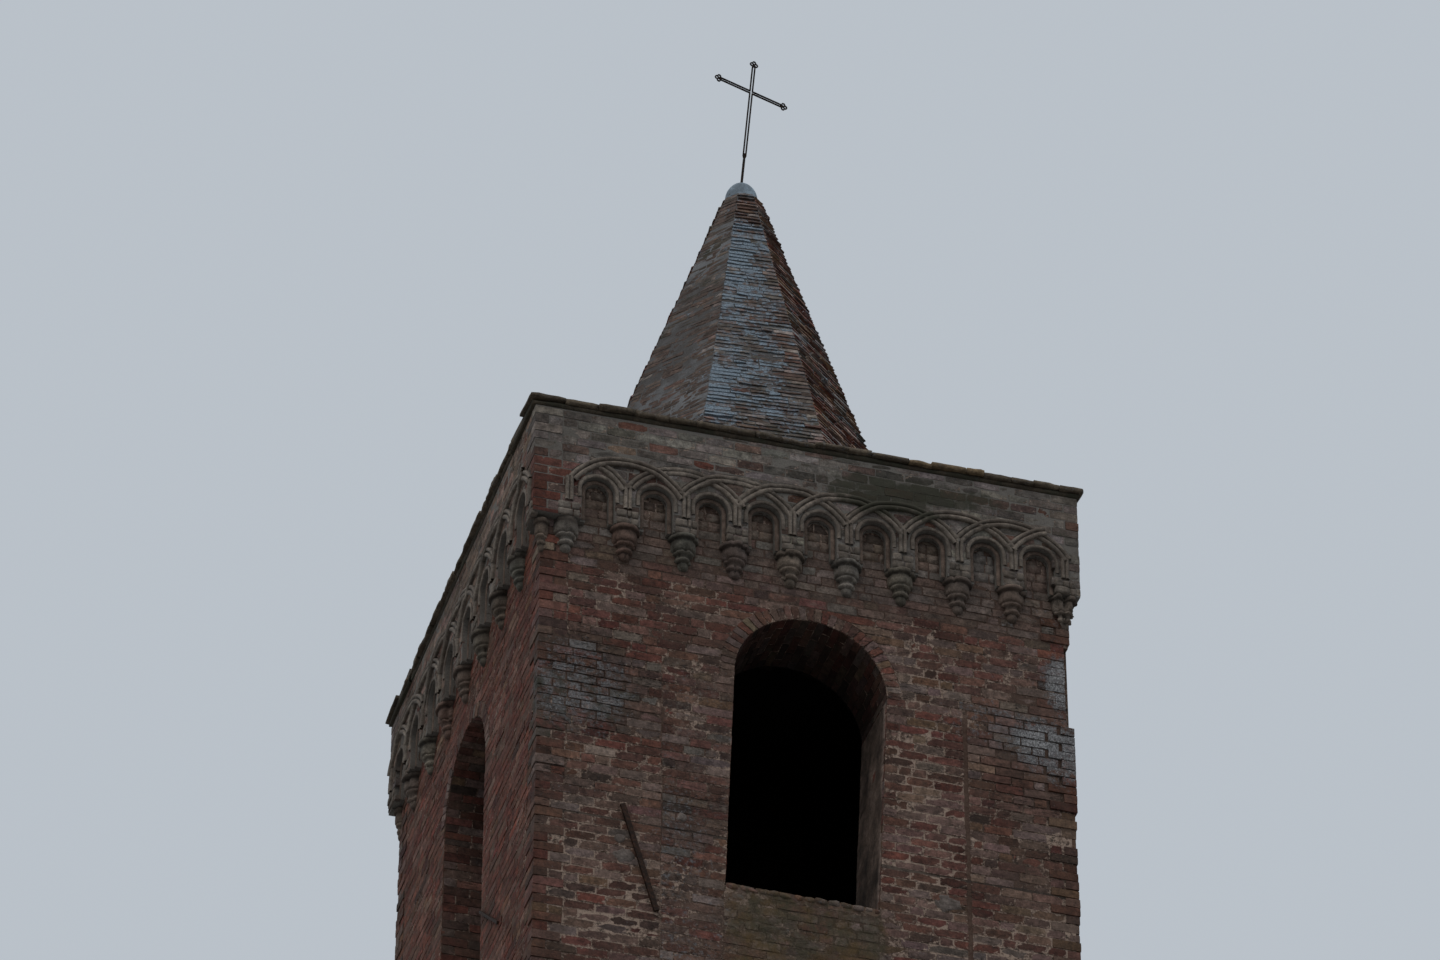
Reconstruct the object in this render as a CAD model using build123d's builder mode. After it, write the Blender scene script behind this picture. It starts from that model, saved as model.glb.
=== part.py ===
from build123d import *
import math
import os

os.makedirs("parts", exist_ok=True)

# ---------------------------------------------------------------------------
# Brick bell tower: square shaft, round-headed belfry openings, a cornice of
# interlaced arches on stepped corbels, a thin projecting coping, an eight-sided
# brick spire with a small domed cap, and a leaning wrought-iron cross.
# Millimetres. Origin at the centre of the footprint, at ground level, +Z up.
# The front face looks along -Y, the left face along -X.
# ---------------------------------------------------------------------------

# shaft
SIDE = 4800.0                  # outside width of the square shaft
HALF = SIDE / 2
WALL = 720.0                   # wall thickness
INNER = HALF - WALL            # half width of the hollow inside
SILL_Z = 15500.0               # sill of the belfry openings above the ground
BASE_Z = SILL_Z - 1400.0       # top of the plain lower walls
SPRING_Z = SILL_Z + 2250.0     # springing of the belfry arches
HEAD_TOP_Z = SILL_Z + 4650.0   # level from which the sloping top of the walls is measured
HEAD_MAX_Z = HEAD_TOP_Z + 160.0
ARRIS = 35.0                   # worn corners of the shaft
ARRIS_TOP = SILL_Z + 3150.0    # up to the corbels
NOTCH = 55.0                   # bricks lost from the front right corner
NOTCH_Z = SILL_Z + 2270.0

# belfry openings
OPEN_R = 700.0                 # half width of the three regular openings
RING = 130.0                   # radial height of one ring of bricks
SIDE_OPEN_Y = 25.0             # middle of the openings in the two side walls
# front opening: its jambs lean a little to the right, between the
# straight joints of an older, wider opening
F_SILL_L, F_SILL_R = -743.0, 620.0
F_SPRING_L, F_SPRING_R = -660.0, 720.0
F_R = (F_SPRING_R - F_SPRING_L) / 2
F_MID = (F_SPRING_R + F_SPRING_L) / 2
OLD_L, OLD_R = -1304.0, 1420.0  # jambs of the older, wider opening
F_SLOPE_L = (F_SPRING_L - F_SILL_L) / (SPRING_Z - SILL_Z)
F_SLOPE_R = (F_SPRING_R - F_SILL_R) / (SPRING_Z - SILL_Z)
F_BASE_L = F_SILL_L - F_SLOPE_L * (SILL_Z - BASE_Z)
F_BASE_R = F_SILL_R - F_SLOPE_R * (SILL_Z - BASE_Z)

# floors
FLOOR_TOP_Z = SILL_Z - 200.0
FLOOR_T = 250.0
GROUND_T = 200.0
ROOF_T = 300.0

# cornice
PROJ = 100.0                   # how far the cornice stands out from the shaft
FOOT_Z = SILL_Z + 3590.0       # feet of the cornice piers, on the corbels
PITCH = 506.0                  # corbel to corbel on the front, right and back
LEFT_PITCH = 610.0             # and on the left face
BAYS = 9
NICHE_R = 105.0                # inner arch of a bay, open down to the shaft
NICHE_Z = SILL_Z + 3910.0      # its springing
ORDER_R = 150.0                # outer, sunk order of a bay
ORDER_DEPTH = 48.0
ARCH_BAND = 86.0               # width of the interlaced mouldings, each over two bays
ARCH_RISE = 0.565              # height of a moulding's arc, as a part of the pitch
ARCH_FOOT = 3985.0             # where the arcs end, on the axes of the corbels
ARCH_PROUD = 34.0
STILT_W = 74.0                 # upright piece below two arcs
STILT_Z = 3760.0
# the arcade isn't level: it climbs away from the front left corner
RISE = {"front": (0.0, 0.0325), "left": (0.0, -0.045), "right": (90.0, 0.0), "back": (90.0, 0.0)}
# corbel tiers, down from the foot of the pier: bottom, top, radius
TIERS = [(-380.0, -290.0, 48.0), (-290.0, -200.0, 76.0),
         (-200.0, -50.0, 113.0), (-50.0, 0.0, 137.0)]

# coping and spire
COPE_OUT = 158.0               # overhang beyond the shaft
COPE_IN = 1760.0               # inner edge of the coping
COPE_EDGE = 80.0               # thickness at the outer edge
COPE_RISE = 150.0              # thickness at the inner edge
TOP_LEFT, TOP_RIGHT = 35.0, 120.0  # the tops of the walls climb to the right, and the coping with them
SPIRE_Z0 = HEAD_TOP_Z + COPE_RISE
SPIRE_Z1 = SILL_Z + 9700.0
SPIRE_R0 = 1805.0              # across corners / 2 at the foot
SPIRE_R1 = 185.0
SPIRE_X0, SPIRE_X1 = 37.0, 152.0  # the spire leans a little to the right
SPIRE_WALL = 300.0
CAP_R = 170.0                  # at its foot
CAP_X = -7.0                   # its middle from the spire's
CAP_TOP_Z = SILL_Z + 9945.0

# cross
LEAN = 4.73                    # degrees towards +X
TURN = 12.8                    # degrees about the upright
CROSS_X = 146.0
CROSS_Z0 = CAP_TOP_Z - 8.0
ROD_R = 12.5
ROD_L = 352.0                  # plain rod below the collar
ARMS_UP = 1242.0               # centre of the arms above the foot of the rod
TOP_UP = 1612.0                # middle of the top trefoil
ARM_HALF = 365.0               # middle of a side trefoil
BAR = 12.0                     # each of the two flats of the cross
BAR_GAP = 15.0
LOBE_R = 17.0


def write(name_, part_):
    part_.label = name_
    export_step(part_, "parts/" + name_ + ".step")


def corner_wear(sign, z0, z1):
    """What the two corners of a front (-1) or back (1) wall have lost between two heights."""
    with BuildPart() as worn:
        with BuildSketch(Plane.XY.offset(z0)):
            with Locations((-HALF, sign * HALF), (HALF, sign * HALF)):
                Rectangle(ARRIS * math.sqrt(2), ARRIS * math.sqrt(2), rotation=45)
        extrude(amount=z1 - z0)
    return worn.part


# ------------------------------------------------------------ top of the walls
# The walls end on a plane that climbs from left to right; the roof slab and the
# coping lie on it. TOP_X runs up along it, TOP_N stands on it, and TOP_MID is its
# point midway between the outer edges of the coping.
OUT = HALF + COPE_OUT
climb = math.atan2(TOP_RIGHT - TOP_LEFT, 2 * OUT)
TOP_X = Vector(math.cos(climb), 0, math.sin(climb))
TOP_N = Vector(-math.sin(climb), 0, math.cos(climb))
TOP_MID = Vector(-OUT, 0, HEAD_TOP_Z + TOP_LEFT) + TOP_X * OUT
with BuildPart() as above_walls:
    with BuildSketch(Plane(TOP_MID, x_dir=TOP_X, z_dir=TOP_N)):
        Rectangle(4 * OUT, 4 * OUT)
    extrude(amount=600)

# ------------------------------------------------------------ lower walls
with BuildPart() as lower_wall_front:
    with Locations((0, -(HALF - WALL / 2), 0)):
        Box(SIDE, WALL, BASE_Z, align=(Align.CENTER, Align.CENTER, Align.MIN))
    add(corner_wear(-1, 0, BASE_Z), mode=Mode.SUBTRACT)
with BuildPart() as lower_wall_back:
    with Locations((0, HALF - WALL / 2, 0)):
        Box(SIDE, WALL, BASE_Z, align=(Align.CENTER, Align.CENTER, Align.MIN))
    add(corner_wear(1, 0, BASE_Z), mode=Mode.SUBTRACT)
with BuildPart() as lower_wall_left:
    with Locations((-(HALF - WALL / 2), 0, 0)):
        Box(WALL, 2 * INNER, BASE_Z, align=(Align.CENTER, Align.CENTER, Align.MIN))
with BuildPart() as lower_wall_right:
    with Locations((HALF - WALL / 2, 0, 0)):
        Box(WALL, 2 * INNER, BASE_Z, align=(Align.CENTER, Align.CENTER, Align.MIN))

write("lower_wall_front", lower_wall_front.part)
write("lower_wall_back", lower_wall_back.part)
write("lower_wall_left", lower_wall_left.part)
write("lower_wall_right", lower_wall_right.part)

# ground floor, between the feet of the walls
with BuildPart() as ground_floor:
    Box(2 * INNER, 2 * INNER, GROUND_T, align=(Align.CENTER, Align.CENTER, Align.MIN))
write("ground_floor", ground_floor.part)

# ------------------------------------------------------------ belfry, front
STAGE = SPRING_Z - BASE_Z
FRONT = Plane((0, -HALF, 0), x_dir=(1, 0, 0), z_dir=(0, -1, 0))    # local x = X, y = Z
BACK = Plane((0, HALF, 0), x_dir=(1, 0, 0), z_dir=(0, -1, 0))
LEFT = Plane((-HALF, 0, 0), x_dir=(0, -1, 0), z_dir=(-1, 0, 0))    # local x = -Y
RIGHT = Plane((HALF, 0, 0), x_dir=(0, -1, 0), z_dir=(-1, 0, 0))

with BuildPart() as belfry_piers_front:
    with BuildSketch(Plane.XY.offset(BASE_Z)):
        with Locations(((-HALF + OLD_L) / 2, -(HALF - WALL / 2))):
            Rectangle(OLD_L + HALF, WALL)
        with Locations(((HALF + OLD_R) / 2, -(HALF - WALL / 2))):
            Rectangle(HALF - OLD_R, WALL)
    extrude(amount=STAGE)
    add(corner_wear(-1, BASE_Z, SPRING_Z), mode=Mode.SUBTRACT)
write("belfry_piers_front", belfry_piers_front.part)

# later brickwork that narrows the older opening, either side of the new one
with BuildPart() as narrowing_front:
    with BuildSketch(FRONT):
        with BuildLine():
            Polyline((OLD_L, BASE_Z), (F_BASE_L, BASE_Z), (F_SPRING_L, SPRING_Z),
                     (OLD_L, SPRING_Z), close=True)
        make_face()
    with BuildSketch(FRONT):
        with BuildLine():
            Polyline((F_BASE_R, BASE_Z), (OLD_R, BASE_Z), (OLD_R, SPRING_Z),
                     (F_SPRING_R, SPRING_Z), close=True)
        make_face()
    extrude(amount=-WALL)
write("narrowing_front", narrowing_front.part)

# rendered infill below the front sill
with BuildPart() as sill_infill_front:
    with BuildSketch(FRONT):
        with BuildLine():
            Polyline((F_BASE_L, BASE_Z), (F_BASE_R, BASE_Z), (F_SILL_R, SILL_Z),
                     (F_SILL_L, SILL_Z), close=True)
        make_face()
    extrude(amount=-WALL)
write("sill_infill_front", sill_infill_front.part)

with BuildPart() as belfry_head_front:
    with BuildSketch(FRONT):
        with Locations((0, (SPRING_Z + HEAD_MAX_Z) / 2)):
            Rectangle(SIDE, HEAD_MAX_Z - SPRING_Z)
        with Locations((F_MID, SPRING_Z)):
            Circle(F_R + RING, mode=Mode.SUBTRACT)
    extrude(amount=-WALL)
    add(corner_wear(-1, SPRING_Z, ARRIS_TOP), mode=Mode.SUBTRACT)
    with Locations((HALF, -HALF, NOTCH_Z)):
        Box(2 * NOTCH, 2 * NOTCH, ARRIS_TOP - NOTCH_Z,
            align=(Align.CENTER, Align.CENTER, Align.MIN), mode=Mode.SUBTRACT)
    add(above_walls.part, mode=Mode.SUBTRACT)
write("belfry_head_front", belfry_head_front.part)

with BuildPart() as arch_ring_front:
    with BuildSketch(FRONT):
        with Locations((F_MID, SPRING_Z)):
            Circle(F_R + RING)
            Circle(F_R, mode=Mode.SUBTRACT)
        with Locations((F_MID, SPRING_Z - SIDE / 2)):
            Rectangle(SIDE, SIDE, mode=Mode.SUBTRACT)
    extrude(amount=-WALL)
write("arch_ring_front", arch_ring_front.part)

# ------------------------------------------------------------ belfry, other sides
with BuildPart() as belfry_piers_back:
    with BuildSketch(Plane.XY.offset(BASE_Z)):
        with Locations((-(HALF + OPEN_R) / 2, HALF - WALL / 2)):
            Rectangle(HALF - OPEN_R, WALL)
        with Locations(((HALF + OPEN_R) / 2, HALF - WALL / 2)):
            Rectangle(HALF - OPEN_R, WALL)
    extrude(amount=STAGE)
    add(corner_wear(1, BASE_Z, SPRING_Z), mode=Mode.SUBTRACT)
write("belfry_piers_back", belfry_piers_back.part)

with BuildPart() as sill_wall_back:
    with Locations((0, HALF - WALL / 2, BASE_Z)):
        Box(2 * OPEN_R, WALL, SILL_Z - BASE_Z, align=(Align.CENTER, Align.CENTER, Align.MIN))
write("sill_wall_back", sill_wall_back.part)

with BuildPart() as belfry_head_back:
    with BuildSketch(BACK):
        with Locations((0, (SPRING_Z + HEAD_MAX_Z) / 2)):
            Rectangle(SIDE, HEAD_MAX_Z - SPRING_Z)
        with Locations((0, SPRING_Z)):
            Circle(OPEN_R + RING, mode=Mode.SUBTRACT)
    extrude(amount=WALL)
    add(corner_wear(1, SPRING_Z, ARRIS_TOP), mode=Mode.SUBTRACT)
    add(above_walls.part, mode=Mode.SUBTRACT)
write("belfry_head_back", belfry_head_back.part)

with BuildPart() as arch_ring_back:
    with BuildSketch(BACK):
        with Locations((0, SPRING_Z)):
            Circle(OPEN_R + RING)
            Circle(OPEN_R, mode=Mode.SUBTRACT)
        with Locations((0, SPRING_Z - SIDE / 2)):
            Rectangle(SIDE, SIDE, mode=Mode.SUBTRACT)
    extrude(amount=WALL)
write("arch_ring_back", arch_ring_back.part)

NEAR_Y = SIDE_OPEN_Y - OPEN_R
FAR_Y = SIDE_OPEN_Y + OPEN_R
for side_name, side_x, side_plane, side_sign in (
        ("left", -(HALF - WALL / 2), LEFT, -1), ("right", HALF - WALL / 2, RIGHT, 1)):
    with BuildPart() as side_piers:
        with BuildSketch(Plane.XY.offset(BASE_Z)):
            with Locations((side_x, (-INNER + NEAR_Y) / 2)):
                Rectangle(WALL, NEAR_Y + INNER)
            with Locations((side_x, (INNER + FAR_Y) / 2)):
                Rectangle(WALL, INNER - FAR_Y)
        extrude(amount=STAGE)
    write("belfry_piers_" + side_name, side_piers.part)

    with BuildPart() as side_sill:
        with Locations((side_x, SIDE_OPEN_Y, BASE_Z)):
            Box(WALL, 2 * OPEN_R, SILL_Z - BASE_Z, align=(Align.CENTER, Align.CENTER, Align.MIN))
    write("sill_wall_" + side_name, side_sill.part)

    with BuildPart() as side_head:
        with BuildSketch(side_plane):
            with Locations((0, (SPRING_Z + HEAD_MAX_Z) / 2)):
                Rectangle(2 * INNER, HEAD_MAX_Z - SPRING_Z)
            with Locations((-SIDE_OPEN_Y, SPRING_Z)):
                Circle(OPEN_R + RING, mode=Mode.SUBTRACT)
        extrude(amount=WALL * side_sign)
        add(above_walls.part, mode=Mode.SUBTRACT)
    write("belfry_head_" + side_name, side_head.part)

    with BuildPart() as side_ring:
        with BuildSketch(side_plane):
            with Locations((-SIDE_OPEN_Y, SPRING_Z)):
                Circle(OPEN_R + RING)
                Circle(OPEN_R, mode=Mode.SUBTRACT)
            with Locations((-SIDE_OPEN_Y, SPRING_Z - SIDE / 2)):
                Rectangle(SIDE, SIDE, mode=Mode.SUBTRACT)
        extrude(amount=WALL * side_sign)
    write("arch_ring_" + side_name, side_ring.part)

# ------------------------------------------------------------ floors
with BuildPart() as belfry_floor:
    with Locations((0, 0, FLOOR_TOP_Z - FLOOR_T)):
        Box(2 * INNER, 2 * INNER, FLOOR_T, align=(Align.CENTER, Align.CENTER, Align.MIN))
write("belfry_floor", belfry_floor.part)

with BuildPart() as roof_slab:
    with Locations((0, 0, HEAD_TOP_Z - ROOF_T)):
        Box(2 * INNER, 2 * INNER, ROOF_T + HEAD_MAX_Z - HEAD_TOP_Z, align=(Align.CENTER, Align.CENTER, Align.MIN))
    add(above_walls.part, mode=Mode.SUBTRACT)
    with BuildSketch(Plane(TOP_MID, x_dir=TOP_X, z_dir=TOP_N)):
        Rectangle(2 * COPE_IN, 2 * COPE_IN)
    extrude(amount=COPE_RISE)
write("roof_slab", roof_slab.part)

# ------------------------------------------------------------ cornice
# A face of the cornice is drawn in a plane whose local x runs along the face
# from its left end to its right end, seen from outside, and local y is height.
FACES = {
    "front": Plane((0, -HALF, 0), x_dir=(1, 0, 0), z_dir=(0, -1, 0)),
    "right": Plane((HALF, 0, 0), x_dir=(0, 1, 0), z_dir=(1, 0, 0)),
    "back": Plane((0, HALF, 0), x_dir=(-1, 0, 0), z_dir=(0, 1, 0)),
    "left": Plane((-HALF, 0, 0), x_dir=(0, -1, 0), z_dir=(-1, 0, 0)),
}
LONG = {"front": True, "back": True, "left": False, "right": False}
# corbels of each face, from the middle of the face. On the front the row starts
# close to the left corner and ends on the right corner; on the left face it
# runs from corner to corner, with wider bays.
ROW = {
    "front": [-2185.0, -1658.0, -1128.0, -663.0, -161.0, 360.0, 855.0, 1380.0, 1882.0, 2363.0],
    "left": [-HALF] + [HALF - LEFT_PITCH * k for k in range(7, 0, -1)] + [HALF],
    "right": [PITCH * (k - 4) for k in range(BAYS)],
    "back": [PITCH * (k - 4) for k in range(BAYS)],
}
# small corbels that stand on a corner itself: x, y, largest radius
CORNERS = {
    "front": [(-HALF, -HALF, 72.0)],
    "back": [(HALF, HALF, 110.0), (-HALF, HALF, 72.0)],
}


def rise(name, u):
    """How much higher than in the middle of the front the arcade is at a place."""
    base, slope = RISE[name]
    return base + slope * u


for face_name, face in FACES.items():
    row = ROW[face_name]
    pitch = LEFT_PITCH if face_name == "left" else PITCH
    half = HALF + PROJ if LONG[face_name] else HALF
    bays = list(zip(row[:-1], row[1:]))
    mids = [(a + b) / 2 for a, b in bays]
    low = FOOT_Z - 200.0

    # plate pierced by the bays, each open at the foot; each pier stands on its corbel
    with BuildPart() as plate:
        with BuildSketch(face):
            with Locations((0, (low + HEAD_MAX_Z) / 2)):
                Rectangle(2 * half, HEAD_MAX_Z - low)
            for m in mids:
                head = NICHE_Z + rise(face_name, m)
                with Locations((m, head)):
                    Circle(NICHE_R, mode=Mode.SUBTRACT)
                with Locations((m, (head + low) / 2)):
                    Rectangle(2 * NICHE_R, head - low, mode=Mode.SUBTRACT)
            for c, x0, x1 in zip(row, [-half - 50] + mids, mids + [half + 50]):
                foot = FOOT_Z + rise(face_name, c)
                with Locations(((x0 + x1) / 2, (foot + low - 50) / 2)):
                    Rectangle(x1 - x0, foot - low + 50, mode=Mode.SUBTRACT)
        extrude(amount=PROJ)
        with BuildSketch(face.offset(PROJ)):
            for m in mids:
                head = NICHE_Z + rise(face_name, m)
                with Locations((m, head)):
                    Circle(ORDER_R)
                with Locations((m, (head + low) / 2)):
                    Rectangle(2 * ORDER_R, head - low)
        extrude(amount=-ORDER_DEPTH, mode=Mode.SUBTRACT)
        add(above_walls.part, mode=Mode.SUBTRACT)
    write("cornice_" + face_name, plate.part)

    # interlaced mouldings, each springing from a corbel's axis and landing two bays
    # on, and the uprights that two of them share; half arcs at the two ends
    radius = pitch * (1 + ARCH_RISE ** 2) / (2 * ARCH_RISE)
    outer, inner = radius + ARCH_BAND / 2, radius - ARCH_BAND / 2
    pieces = []
    for k, c in enumerate(row):
        foot = SILL_Z + ARCH_FOOT + rise(face_name, c)
        centre = foot + ARCH_RISE * pitch - radius
        with BuildPart() as one:
            with BuildSketch(face.offset(PROJ)):
                with Locations((c, centre)):
                    Circle(outer)
                    Circle(inner, mode=Mode.SUBTRACT)
                with Locations((c, foot - SIDE / 2 - 10)):
                    Rectangle(SIDE, SIDE, mode=Mode.SUBTRACT)
                if k == 0:
                    with Locations((c + pitch * 0.35 - SIDE / 2, foot)):
                        Rectangle(SIDE, SIDE, mode=Mode.SUBTRACT)
                if k == len(row) - 1:
                    with Locations((c - pitch * 0.35 + SIDE / 2, foot)):
                        Rectangle(SIDE, SIDE, mode=Mode.SUBTRACT)
                with Locations((half + SIDE / 2 - 20, foot)):
                    Rectangle(SIDE, SIDE, mode=Mode.SUBTRACT)
                with Locations((-half - SIDE / 2 + 20, foot)):
                    Rectangle(SIDE, SIDE, mode=Mode.SUBTRACT)
            extrude(amount=ARCH_PROUD)
        pieces.append(one.part)
        if abs(c) < half - STILT_W:
            with BuildPart() as stilt:
                with BuildSketch(face.offset(PROJ)):
                    with Locations((c, (SILL_Z + STILT_Z + foot + 30 + rise(face_name, c)) / 2)):
                        Rectangle(STILT_W, foot + 30 - SILL_Z - STILT_Z - rise(face_name, c))
                extrude(amount=ARCH_PROUD)
            pieces.append(stilt.part)
    fused = pieces[0].fuse(*pieces[1:])
    write("interlaced_arches_" + face_name, Part(fused.wrapped))

    # corbels: stacked half-round tiers, each wider than the one below
    with BuildPart() as corbels:
        for c in row:
            if abs(c) == HALF:
                continue
            for z0, z1, r in TIERS:
                with BuildSketch(Plane.XY.offset(FOOT_Z + rise(face_name, c) + z0)):
                    p = face.from_local_coords(Vector(c, 0, 0))
                    with Locations((p.X, p.Y)):
                        Circle(r)
                extrude(amount=z1 - z0)
        for cx, cy, big in CORNERS.get(face_name, []):
            drop = -110.0 if cy < 0 else rise(face_name, 0)
            for z0, z1, r in TIERS:
                with BuildSketch(Plane.XY.offset(FOOT_Z + drop + z0)):
                    with Locations((cx, cy)):
                        Circle(r * big / TIERS[-1][2])
                extrude(amount=z1 - z0)
        with Locations((0, 0, SILL_Z + 3000)):
            Box(SIDE, SIDE, 1000, align=(Align.CENTER, Align.CENTER, Align.MIN), mode=Mode.SUBTRACT)
    write("corbels_" + face_name, corbels.part)

# ------------------------------------------------------------ coping
for cope_name, cope_plane, cope_half in (
        ("front", Plane(TOP_MID, x_dir=(0, -1, 0), z_dir=-TOP_X), OUT),
        ("back", Plane(TOP_MID, x_dir=(0, 1, 0), z_dir=TOP_X), OUT),
        ("left", Plane(TOP_MID, x_dir=-TOP_X, z_dir=(0, 1, 0)), COPE_IN),
        ("right", Plane(TOP_MID, x_dir=TOP_X, z_dir=(0, -1, 0)), COPE_IN)):
    with BuildPart() as coping:
        with BuildSketch(cope_plane):
            with BuildLine():
                Polyline((COPE_IN, 0), (OUT, 0), (OUT, COPE_EDGE), (COPE_IN, COPE_RISE), close=True)
            make_face()
        extrude(amount=cope_half, both=True)
    write("coping_" + cope_name, coping.part)

# ------------------------------------------------------------ spire
TURN_8 = 17.2                  # it is turned a little against the shaft
with BuildPart() as spire:
    with BuildSketch(Plane((SPIRE_X0, 0, SPIRE_Z0))):
        RegularPolygon(SPIRE_R0, 8, rotation=TURN_8)
    with BuildSketch(Plane((SPIRE_X1, 0, SPIRE_Z1))):
        RegularPolygon(SPIRE_R1, 8, rotation=TURN_8)
    loft(ruled=True)
    with BuildSketch(Plane((SPIRE_X0, 0, SPIRE_Z0))):
        RegularPolygon(SPIRE_R0 - SPIRE_WALL * 1.15, 8, rotation=TURN_8)
    with BuildSketch(Plane((SPIRE_X0 + (SPIRE_X1 - SPIRE_X0) * 0.75, 0,
                            SPIRE_Z0 + (SPIRE_Z1 - SPIRE_Z0) * 0.75))):
        RegularPolygon(SPIRE_R0 + (SPIRE_R1 - SPIRE_R0) * 0.75 - SPIRE_WALL * 1.15, 8, rotation=TURN_8)
    loft(ruled=True, mode=Mode.SUBTRACT)
    with BuildSketch(Plane(TOP_MID + TOP_N * COPE_RISE, x_dir=TOP_X, z_dir=TOP_N)):
        Rectangle(4 * OUT, 4 * OUT)
    extrude(amount=-500, mode=Mode.SUBTRACT)
write("spire", spire.part)

with BuildPart() as spire_cap:
    with BuildSketch(Plane((SPIRE_X1 + CAP_X, 0, SPIRE_Z1), x_dir=(1, 0, 0), z_dir=(0, -1, 0))):
        with BuildLine():
            Line((0, 0), (CAP_R, 0))
            Spline((CAP_R, 0), (158, 60), (146, 120), (120, 172), (78, 220), (0, CAP_TOP_Z - SPIRE_Z1),
                   tangents=((-0.25, 1), (-1, 0)))
            Line((0, CAP_TOP_Z - SPIRE_Z1), (0, 0))
        make_face()
    revolve(axis=Axis((SPIRE_X1 + CAP_X, 0, SPIRE_Z1), (0, 0, 1)))
write("spire_cap", spire_cap.part)

# ------------------------------------------------------------ cross
# The cross stands in its own leaning plane: local x along the arms, local y up
# the upright, local z out of the face of the cross.
lean = math.radians(LEAN)
turn = math.radians(TURN)
UP = Vector(math.sin(lean), 0, math.cos(lean))
SIDE0 = Vector(math.cos(lean), 0, -math.sin(lean))
SIDE1 = SIDE0 * math.cos(turn) + UP.cross(SIDE0) * math.sin(turn)
CROSS = Plane((CROSS_X, 0, CROSS_Z0), x_dir=SIDE1, z_dir=SIDE1.cross(UP))
UPRIGHT = Plane((CROSS_X, 0, CROSS_Z0), x_dir=SIDE1, z_dir=UP)

with BuildPart() as cross_rod:
    with BuildSketch(UPRIGHT.offset(8.5)):
        Circle(ROD_R)
    extrude(amount=ROD_L - 8.5)
write("cross_rod", cross_rod.part)

HALF_BAR = BAR + BAR_GAP / 2
SHAFT_FOOT = ROD_L + 45.0
with BuildPart() as cross:
    # pointed foot of the double upright
    with BuildSketch(CROSS):
        with BuildLine():
            Polyline((-6, ROD_L), (6, ROD_L), (HALF_BAR, SHAFT_FOOT), (-HALF_BAR, SHAFT_FOOT), close=True)
        make_face()
    extrude(amount=BAR / 2, both=True)
    # upright and arms, each of two flats with a slot between them
    with BuildSketch(CROSS):
        with Locations((0, (SHAFT_FOOT + TOP_UP - LOBE_R) / 2)):
            Rectangle(2 * HALF_BAR, TOP_UP - LOBE_R - SHAFT_FOOT)
        with Locations((0, ARMS_UP)):
            Rectangle(2 * (ARM_HALF - LOBE_R), 2 * HALF_BAR)
        with Locations((0, (SHAFT_FOOT + TOP_UP) / 2)):
            Rectangle(BAR_GAP, TOP_UP - SHAFT_FOOT - 4 * LOBE_R, mode=Mode.SUBTRACT)
        with Locations((0, ARMS_UP)):
            Rectangle(2 * (ARM_HALF - 2 * LOBE_R), BAR_GAP, mode=Mode.SUBTRACT)
    extrude(amount=BAR / 2, both=True)
    # open trefoils on the three free ends
    with BuildSketch(CROSS):
        for tx, ty, dx, dy in ((0, TOP_UP, 0, 1), (ARM_HALF, ARMS_UP, 1, 0), (-ARM_HALF, ARMS_UP, -1, 0)):
            lobes = [(tx + dx * LOBE_R * 1.15, ty + dy * LOBE_R * 1.15),
                     (tx + dy * LOBE_R * 1.35 - dx * 4, ty + dx * LOBE_R * 1.35 - dy * 4),
                     (tx - dy * LOBE_R * 1.35 - dx * 4, ty - dx * LOBE_R * 1.35 - dy * 4)]
            with Locations(*lobes):
                Circle(LOBE_R + 5)
            with Locations(*lobes):
                Circle(LOBE_R - 5, mode=Mode.SUBTRACT)
    extrude(amount=BAR / 2, both=True)
write("cross", cross.part)

# ------------------------------------------------------------ tie anchors
# wrought-iron bars outside the walls, at the ends of the tie rods
with BuildPart() as tie_anchors:
    for face_name, x0, z0, x1, z1 in (("front", -1646, 636, -1342, -390),
                                      ("left", 1329, -10, 712, 505),
                                      ("back", 1646, 636, 1342, -390),
                                      ("right", -1329, -10, -712, 505)):
        length = math.hypot(x1 - x0, z1 - z0)
        angle = math.degrees(math.atan2(z1 - z0, x1 - x0))
        thick = 44 if face_name in ("front", "back") else 26
        with BuildSketch(FACES[face_name]):
            with Locations(Location(((x0 + x1) / 2, SILL_Z + (z0 + z1) / 2, 0), (0, 0, angle))):
                Rectangle(length, thick)
        extrude(amount=30)
write("tie_anchors", tie_anchors.part)
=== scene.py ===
import math

import bpy
import numpy as np
from mathutils import Matrix, Vector, noise


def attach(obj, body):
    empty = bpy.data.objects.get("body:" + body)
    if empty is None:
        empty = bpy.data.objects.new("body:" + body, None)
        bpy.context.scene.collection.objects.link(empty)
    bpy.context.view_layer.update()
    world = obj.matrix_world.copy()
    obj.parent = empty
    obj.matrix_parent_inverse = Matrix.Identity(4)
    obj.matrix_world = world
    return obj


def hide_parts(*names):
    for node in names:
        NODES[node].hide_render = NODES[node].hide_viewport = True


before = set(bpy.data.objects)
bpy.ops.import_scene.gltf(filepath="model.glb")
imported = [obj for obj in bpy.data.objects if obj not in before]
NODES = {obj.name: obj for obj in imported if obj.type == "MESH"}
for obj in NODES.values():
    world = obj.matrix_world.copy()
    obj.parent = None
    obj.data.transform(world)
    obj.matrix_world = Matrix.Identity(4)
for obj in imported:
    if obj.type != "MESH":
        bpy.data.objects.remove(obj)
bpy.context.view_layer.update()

rng = np.random.default_rng(20)

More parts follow.
